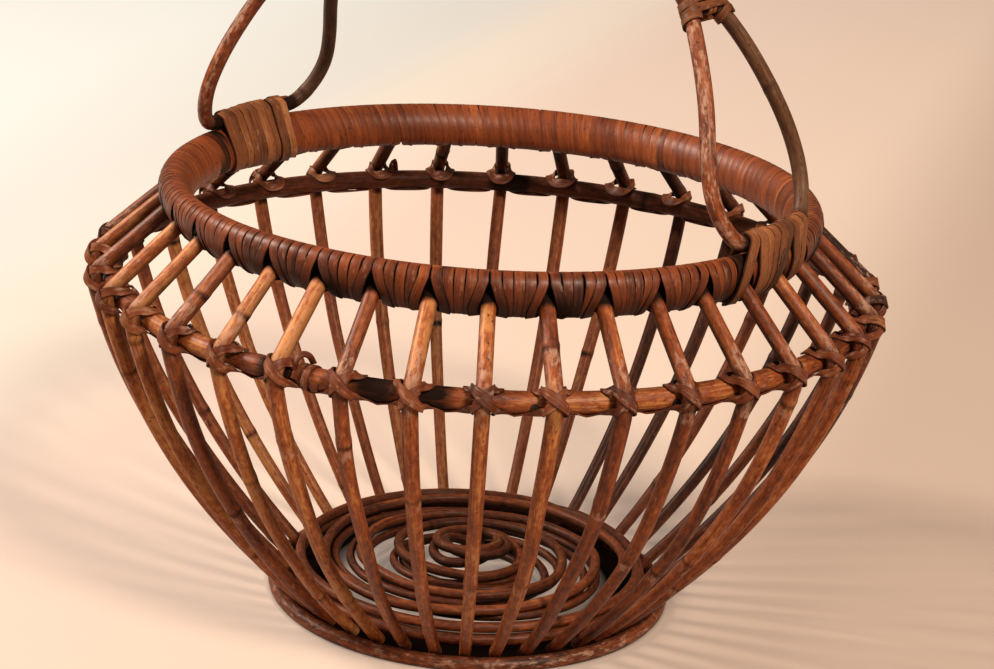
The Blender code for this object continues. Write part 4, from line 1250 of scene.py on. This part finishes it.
def make_foot_lashing(end, centre, loop_half_width, shift=0.0):
    """Cane wound round the rim and the handle's foot, set a little to one side if asked."""
    line = loop_line(loop_half_width)
    lift = 0.5 * GAP + STRIP_THICKNESS / 2
    rim_circles = []
    for step in range(RIM_CIRCLES):
        angle = math.tau * step / RIM_CIRCLES
        rim_circles.append((rim_centre + RIM_HALF_DEPTH * math.cos(angle) * rim_level
                            + rim_half_height * math.sin(angle) * rim_upright, lift))
    pitch = 2 * LASHING_HALF_SPAN / LASHING_TURNS / RIM_RADIUS
    rows = []
    for turn in range(LASHING_TURNS):
        even = centre + shift / RIM_RADIUS + pitch * (turn - (LASHING_TURNS - 1) / 2)
        tone = 0.42 + chance.gauss(0.0, 0.13)
        loose = chance.uniform(0.0, 0.9) * MM
        lean = LASHING_LEAN * chance.uniform(0.5, 1.3)
        rise = rise_at(line, abs(even - centre) * handle_foot.x)
        rod_circle = (Vector((reach_at(rise), handle_foot.y + rise)), HANDLE_ROD_RADIUS + lift)
        squeezed = between_ribs(even - lean / RIM_RADIUS, 0.7 * LASHING_HALF_WIDTH)
        gone, last = 0.0, None
        for step in range(LASHING_STEPS):
            angle = math.pi / 2 - math.tau * step / LASHING_STEPS
            place, direction = taut_outline([*rim_circles, rod_circle], angle)
            gone += (place - last).length if last else 0.0
            last = place
            fanned = ease(gone, 0.0, LASHING_FAN_LENGTH) * (1 - ease(angle, FAN_END, FAN_GONE))
            carried = ease(-angle, LASHING_CARRY_START, CARRY_END)
            azimuth = even + fanned * (squeezed - even) + carried * pitch
            place = place + direction * loose
            rows.append((polar(place.x, azimuth, place.y), polar(direction.x, azimuth, direction.y),
                         LASHING_HALF_WIDTH, tone, STRIP_STAIN + 0.2 * fanned, STRIP_WEAR))
    piece = bend_cane(f"wound_foot_lashing_{end}", lashing_finish, STRIP_THICKNESS,
                      STRIP_EDGE_SHADE, rows)
    return fit(piece, "foot_cane", f"foot_lashing_{end}")


make_foot_lashing("right", 0.0, RIGHT_LOOP_HALF_WIDTH)
make_foot_lashing("left", math.pi, LEFT_LOOP_HALF_WIDTH, LEFT_LASHING_SHIFT)

# %% [markdown]
# Handwork leaves loose ends. Under each neck a few turns hold each rod by itself, and two strips
# come out of the lashing, run down between the rods and back up behind. Both are bent from the
# same flat stock. A collar is a short helix round its rod, whose ends get narrow and close where
# they are tucked in.

# %% Collars and neck strips
COLLAR_STEPS = 16
COLLAR_PITCH = 2.5 * MM
COLLAR_LIFT = 8 * MM
COLLAR_TONE = 0.3
TUCK_STEPS = 5
# The second value is painted shade along the edges of collars, ends and bands
END_STAIN, END_EDGE_SHADE = 0.15, 0.6
NECK_STRIP_WIDTH = 2.4 * MM
NECK_STRIP_TONE = 0.6
NECK_STRIP_PLACES = (-0.8 * MM, 1.9 * MM)
# A neck strip's corners: which side of the rods it is on, and its height in mm above the collars
NECK_STRIP_CORNERS = ((1.0, 18.0), (1.0, 8.0), (1.0, 0.0), (0.0, -3.2), (-1.0, 0.0), (-1.0, 8.0))


def make_strip(name, corners, facings, width, material, tone, slot):
    """A short piece of flat cane through a few corners, facing the given ways."""
    rows = [(point, facing, width / 2, tone, END_STAIN, STRIP_WEAR)
            for point, facing in zip(smooth_through(corners, 5), smooth_through(facings, 5))]
    return fit(bend_cane(name, material, STRIP_THICKNESS, END_EDGE_SHADE, rows), slot)


def make_collar(name, centres, turns, reach):
    """A few turns of cane wound up a single rod."""
    count = turns * COLLAR_STEPS
    rows = []
    for step in range(count + 1):
        tucked = 1 - ease(min(step, count - step), 0.0, TUCK_STEPS)
        place = step / count * (len(centres) - 1)
        index = min(int(place), len(centres) - 2)
        centre = centres[index].lerp(centres[index + 1], place - index)
        along = (centres[index + 1] - centres[index]).normalized()
        side = along.cross(Vector((1.0, 0.0, 0.0))).normalized()
        turned = math.tau * step / COLLAR_STEPS
        out = side * math.cos(turned) + along.cross(side) * math.sin(turned)
        rows.append((centre + (reach - 0.5 * MM * tucked) * out, out,
                     STRIP_WIDTH / 2 * (1 - 0.6 * tucked), COLLAR_TONE, END_STAIN, STRIP_WEAR))
    return fit(bend_cane(name, lashing_finish, STRIP_THICKNESS, END_EDGE_SHADE, rows), "neck_cane")


def make_neck_ends(end, side, half_width):
    """The collars on both rods under one neck, and two strips that run down between the rods."""
    line = [place for place in loop_line(half_width) if 0.5 * LOOP_HEIGHT < place.y]
    top = LOOP_HEIGHT - NECK_LEAD_LENGTH + COLLAR_LIFT
    for rod, front, turns, lift in (("front", -1.0, 2, 0.4 * MM), ("back", 1.0, 2, 0.5 * MM)):
        bottom = top - turns * COLLAR_PITCH
        centres = [loop_point(place) for place in line if bottom - 2 * MM < place.y < top + 2 * MM]
        centres = [Vector((side, front, 1)) * point for point in even_steps(centres, 1 * MM)]
        make_collar(f"wound_collar_{end}_{rod}", centres, turns, HANDLE_ROD_RADIUS + lift + GAP)
    clear = HANDLE_ROD_RADIUS + 1.6 * STRIP_THICKNESS
    for number, across in enumerate(NECK_STRIP_PLACES, 1):
        corners, facings = [], []
        for out, height in NECK_STRIP_CORNERS:
            rise = top + height * MM
            corners.append(Vector((side * (reach_at(rise) + out * clear), across,
                                   handle_foot.y + rise)))
            facings.append(Vector((side * out, 0.0, -0.3 if out else -1.0)))
        make_strip(f"tucked_neck_strip_{end}_{number}", corners, facings, NECK_STRIP_WIDTH,
                   lashing_finish, NECK_STRIP_TONE, "neck_cane")


make_neck_ends("right", 1.0, RIGHT_LOOP_HALF_WIDTH)
make_neck_ends("left", -1.0, LEFT_LOOP_HALF_WIDTH)

# %% [markdown]
# Two short bands of lacing cane close the shoulder hoop's joint, and a few ends of the lacing
# stand up where the maker tucked them in behind the hoop. A band is a helix round the hoop's
# section. An end is a small hook through five corners.

# %% Bands and tucked ends on the hoop
BAND_PITCH = 3.6 * MM
BAND_HALF_WIDTH = 1.4 * MM
BAND_REACH = HOOP_ROD_RADIUS + 0.45 * STRIP_THICKNESS
BAND_TURNS = 2
BAND_TONE = 0.55
BAND_PLACES = (("front", 277.9), ("back", 62.0))
TUCKED_WIDTH = 2.2 * MM
# A tucked end's place in degrees, its height in mm and the way it bends
TUCKED_ENDS = ((277.6, 5.0, 1.0), (20.0, 6.0, -1.0), (140.0, 5.0, 1.0))
# Its corners: along the hoop and out of it in mm, and the share of its height
TUCKED_CORNERS = ((0.0, 3.2, 0.0), (0.6, 2.8, 0.7), (1.8, 1.0, 1.0), (3.2, -1.2, 0.8),
                  (3.8, -3.2, 0.2))

for end, degrees in BAND_PLACES:
    rows = []
    for step in range(BAND_TURNS * COLLAR_STEPS + 1):
        turned = step / COLLAR_STEPS
        azimuth = math.radians(degrees) + BAND_PITCH * turned / shoulder_radius
        rows.append((*hoop_point(BAND_REACH, math.tau * turned, azimuth), BAND_HALF_WIDTH,
                     BAND_TONE, STRIP_STAIN, LACING_WEAR))
    fit(bend_cane(f"splice_band_{end}", lacing_finish, STRIP_THICKNESS, END_EDGE_SHADE, rows),
        "lacing_cane")

for number, (degrees, height, way) in enumerate(TUCKED_ENDS, 1):
    corners, facings = [], []
    for along, out, up in TUCKED_CORNERS:
        azimuth = math.radians(degrees) + way * along * MM / shoulder_radius
        corners.append(polar(shoulder_radius + out * MM, azimuth,
                             SHOULDER_HEIGHT + (3.0 + height * up) * MM))
        facings.append(polar(0.8, azimuth, 0.6))
    make_strip(f"tucked_lacing_end_{number}", corners, facings, TUCKED_WIDTH, lacing_finish, 0.45,
               "lacing_cane")

# %% [markdown]
# Dark wooden pegs pin the hoop to some of the ribs. Each is a short cone, a little narrower
# outside, set into the hoop's outer face. All ten are one small mesh.

# %% Pegs in the hoop
PEG_RADIUS = 1.65 * MM
PEG_TAPER = 0.8
PEG_LENGTH = 1.4 * MM
PEG_SIDES = 12
PEG_ANGLE = math.radians(-12)
PEG_TONE = 0.2
PEG_PLACES = (304.0, 310.3, 285.5, 265.0, 330.0, 236.0, 10.0, 75.0, 150.0, 190.0)

pegs = bmesh.new()
grain = pegs.verts.layers.float_vector.new("grain")
tone = pegs.verts.layers.float.new("tone")
for degrees in PEG_PLACES:
    place, facing = hoop_point(HOOP_ROD_RADIUS - 0.1 * MM, PEG_ANGLE, math.radians(degrees))
    turned = facing.to_track_quat("Z", "Y").to_matrix().to_4x4()
    added = bmesh.ops.create_cone(pegs, cap_ends=True, segments=PEG_SIDES, radius1=PEG_RADIUS,
                                  radius2=PEG_TAPER * PEG_RADIUS, depth=PEG_LENGTH,
                                  matrix=Matrix.Translation(place) @ turned)
    for vertex in added["verts"]:
        vertex[grain] = vertex.co
        vertex[tone] = PEG_TONE
fit(add_piece("hoop_pegs", pegs, core_finish), "hoop_rattan")
print("pegs:", len(PEG_PLACES))

# %% [markdown]
# Two more mending strands lie under the coil. One winds into the middle and one follows the outer
# turns.

# %% More floor strands
make_strand("loose_floor_strand_inner", 288.0, 33 * MM, 9.5 * MM, 48, 5.5 * MM)
make_strand("loose_floor_strand_outer", 123.0, 54 * MM, 7.5 * MM, 49, 3.2 * MM)

# %% [markdown]
# The basket stands on a pale seamless sheet, cream on the left and peach on the right. The tints
# follow one direction across the sheet and carry painted light and shade: bright on the left,
# darker on the right. Painted shade also darkens them far from the basket, where the panels stand
# close. Lighting it brighter would also light the basket, so the sheet glows a little by itself
# and keeps the shadows. Other rays than those that are seen meet a dimmer sheet, which throws
# less light back up. Inside the foot the sheet is nearly black near the ring, as in the deep
# shadow under the floor.

# %% The sheet's values
SHEET_RADIUS = 4.0
# The paper's cream and peach with painted light and shade: bright on the left, darker on the right
SHEET_TINTS_AND_SHADE = ((-0.575, "E2E8E9"), (-0.385, "DBDCD9"), (-0.318, "E4DCD2"), (-0.19, "DFCCC0"),
               (-0.01, "DECABB"), (0.125, "BEA99A"))
SHEET_TURN = math.radians(15.0)
# Painted shade far out on the sheet, where the panels stand close
SHEET_FAR_SHADE = "7A6858"
SHEET_BOUNCE = "8A7460"
SHEET_GLOW, GLOW_STRENGTH = 0.3, 0.97
FAR_LEFT = (-1.7, -0.7)
FAR_FRONT = (-1.1, -0.25)
FOOT_SHADOW = "120B08"
LIT_FLOOR_CENTRE = (-0.005, 0.0075, 0.0)
LIT_FLOOR_EDGE = (0.045, 0.056)
FOOT_SHADOW_EDGE = (0.074, 0.079)


def make_sheet_material():
    """Pale paper whose tint changes across it with painted light and shade, lit a little by itself
    so that it stays bright.
    """
    material = bpy.data.materials.new("pale_paper_sheet")
    material.use_nodes = True
    tree = material.node_tree
    tree.nodes.remove(tree.nodes["Principled BSDF"])
    place = add_node(tree, "ShaderNodeTexCoord", {}, {}, "Object")
    turned = add_node(tree, "ShaderNodeVectorRotate",
                      {"rotation_type": "Z_AXIS", "Angle": -SHEET_TURN}, {"Vector": place})
    across = add_node(tree, "ShaderNodeSeparateXYZ", {}, {0: turned}, "X")
    ahead = add_node(tree, "ShaderNodeSeparateXYZ", {}, {0: place}, "Y")
    first, last = SHEET_TINTS_AND_SHADE[0][0], SHEET_TINTS_AND_SHADE[-1][0]
    share = add_node(tree, "ShaderNodeMapRange", limits(first, last), {"Value": across})
    tint = add_node(tree, "ShaderNodeValToRGB", {}, {"Fac": share})
    ramp = tint.node.color_ramp
    ramp.interpolation = "EASE"
    for stop, (_, code) in zip(ramp.elements, (SHEET_TINTS_AND_SHADE[0], SHEET_TINTS_AND_SHADE[-1])):
        stop.color = colour(code)
    for x, code in SHEET_TINTS_AND_SHADE[1:-1]:
        ramp.elements.new((x - first) / (last - first)).color = colour(code)

    away = add_node(tree, "ShaderNodeVectorMath", {"operation": "LENGTH"}, {0: place}, "Value")
    from_lit = add_node(tree, "ShaderNodeVectorMath",
                        {"operation": "DISTANCE", 1: LIT_FLOOR_CENTRE}, {0: place}, "Value")
    unlit, under_foot, far_left_shade, far_front_shade = (
        add_node(tree, "ShaderNodeMapRange", limits(*edge, *ends), {"Value": distance})
        for distance, edge, ends in ((from_lit, LIT_FLOOR_EDGE, (0.0, 1.0)),
                                     (away, FOOT_SHADOW_EDGE, (1.0, 0.0)),
                                     (across, FAR_LEFT, (1.0, 0.0)),
                                     (ahead, FAR_FRONT, (1.0, 0.0))))
    near_ring = add_node(tree, "ShaderNodeMath", {"operation": "MULTIPLY"},
                         {0: unlit, 1: under_foot})
    for mask, code in ((far_left_shade, SHEET_FAR_SHADE), (far_front_shade, SHEET_FAR_SHADE), (near_ring, FOOT_SHADOW)):
        tint = add_node(tree, "ShaderNodeMix", {"data_type": "RGBA", MIX_B: colour(code)},
                        {MIX_FACTOR: mask, MIX_A: tint}, MIX_RESULT)

    matt = add_node(tree, "ShaderNodeBsdfDiffuse", {}, {"Color": tint})
    glow = add_node(tree, "ShaderNodeEmission", {"Strength": GLOW_STRENGTH}, {"Color": tint})
    lit = add_node(tree, "ShaderNodeMixShader", {0: SHEET_GLOW}, {1: matt, 2: glow})
    dim = add_node(tree, "ShaderNodeBsdfDiffuse", {"Color": colour(SHEET_BOUNCE)}, {})
    seen = add_node(tree, "ShaderNodeLightPath", {}, {}, "Is Camera Ray")
    rays = seen.node.outputs
    for kind in ("Is Glossy Ray", "Is Transmission Ray"):
        seen = add_node(tree, "ShaderNodeMath", {"operation": "MAXIMUM"}, {0: seen, 1: rays[kind]})
    shown = add_node(tree, "ShaderNodeMixShader", {}, {0: seen, 1: dim, 2: lit})
    tree.links.new(shown, tree.nodes["Material Output"].inputs["Surface"])
    return material


print("tints across the sheet:", len(SHEET_TINTS_AND_SHADE))

# %% [markdown]
# The sheet itself is a flat disc, wide enough that no view sees its edge. It belongs to the stage
# and not to the basket.

# %% The sheet
ground = bmesh.new()
bmesh.ops.create_circle(ground, cap_ends=True, segments=96, radius=SHEET_RADIUS)
add_piece("pale_sheet", ground, make_sheet_material())
print("sheet:", 2 * SHEET_RADIUS, "m across")

# %% [markdown]
# A photographer would hang two soft boxes, one on each side of the camera. Here they are two
# square area lamps, with a dim warm room around them that fills the shadows.


# %% Lights and world
def add_panel(name, place, size, power, tint):
    """A square soft light that faces the basket."""
    lamp = bpy.data.lights.new(name, "AREA")
    lamp.shape = "SQUARE"
    lamp.size = size
    lamp.energy = power
    lamp.color = colour(tint)[:3]
    panel = bpy.data.objects.new(name, lamp)
    panel.location = place
    panel.rotation_euler = (LIT_POINT - Vector(place)).to_track_quat("-Z", "Y").to_euler()
    bpy.context.scene.collection.objects.link(panel)


LIT_POINT = Vector((0.0, 0.0, 0.1))
ROOM_STRENGTH = 0.25
add_panel("key_panel", (2.0, -1.0, 2.1), 0.6, 95.0, "FFE9D2")
add_panel("fill_panel", (-2.2, -0.9, 2.0), 0.8, 112.0, "FFEEDC")
world = bpy.data.worlds.new("pale_room")
world.use_nodes = True
room = world.node_tree.nodes["Background"].inputs
room["Color"].default_value = colour("FFE2C6")
room["Strength"].default_value = ROOM_STRENGTH
bpy.context.scene.world = world
bpy.context.scene.view_settings.view_transform = "Standard"
print("lamps:", [lamp.name for lamp in bpy.data.lights])

# %% [markdown]
# The camera stands where the photographer's stood. Its place, its line of sight, its lens and its
# small roll were worked out from the ellipses of rim, hoop and foot.

# %% Camera
CAMERA_PLACE = Vector((0.5057, -0.7779, 0.4094))
CAMERA_LOOK = Vector((-0.5133, 0.7995, -0.3118))
CAMERA_ROLL = math.radians(3.69)
CAMERA_LENS = 92.69

look = CAMERA_LOOK.normalized()
right = look.cross(UP).normalized()
up = right.cross(look)
leaned_right = math.cos(CAMERA_ROLL) * right + math.sin(CAMERA_ROLL) * up
leaned_up = -math.sin(CAMERA_ROLL) * right + math.cos(CAMERA_ROLL) * up
lens = bpy.data.cameras.new("photo_camera")
lens.lens = CAMERA_LENS
lens.sensor_width = 36.0
lens.clip_end = 20.0
camera = bpy.data.objects.new("photo_camera", lens)
bpy.context.scene.collection.objects.link(camera)
turned = Matrix((leaned_right, leaned_up, -look)).transposed()
camera.matrix_world = Matrix.Translation(CAMERA_PLACE) @ turned.to_4x4()
bpy.context.scene.camera = camera
print("camera at", round(CAMERA_PLACE.length, 2), "m from the basket's foot")
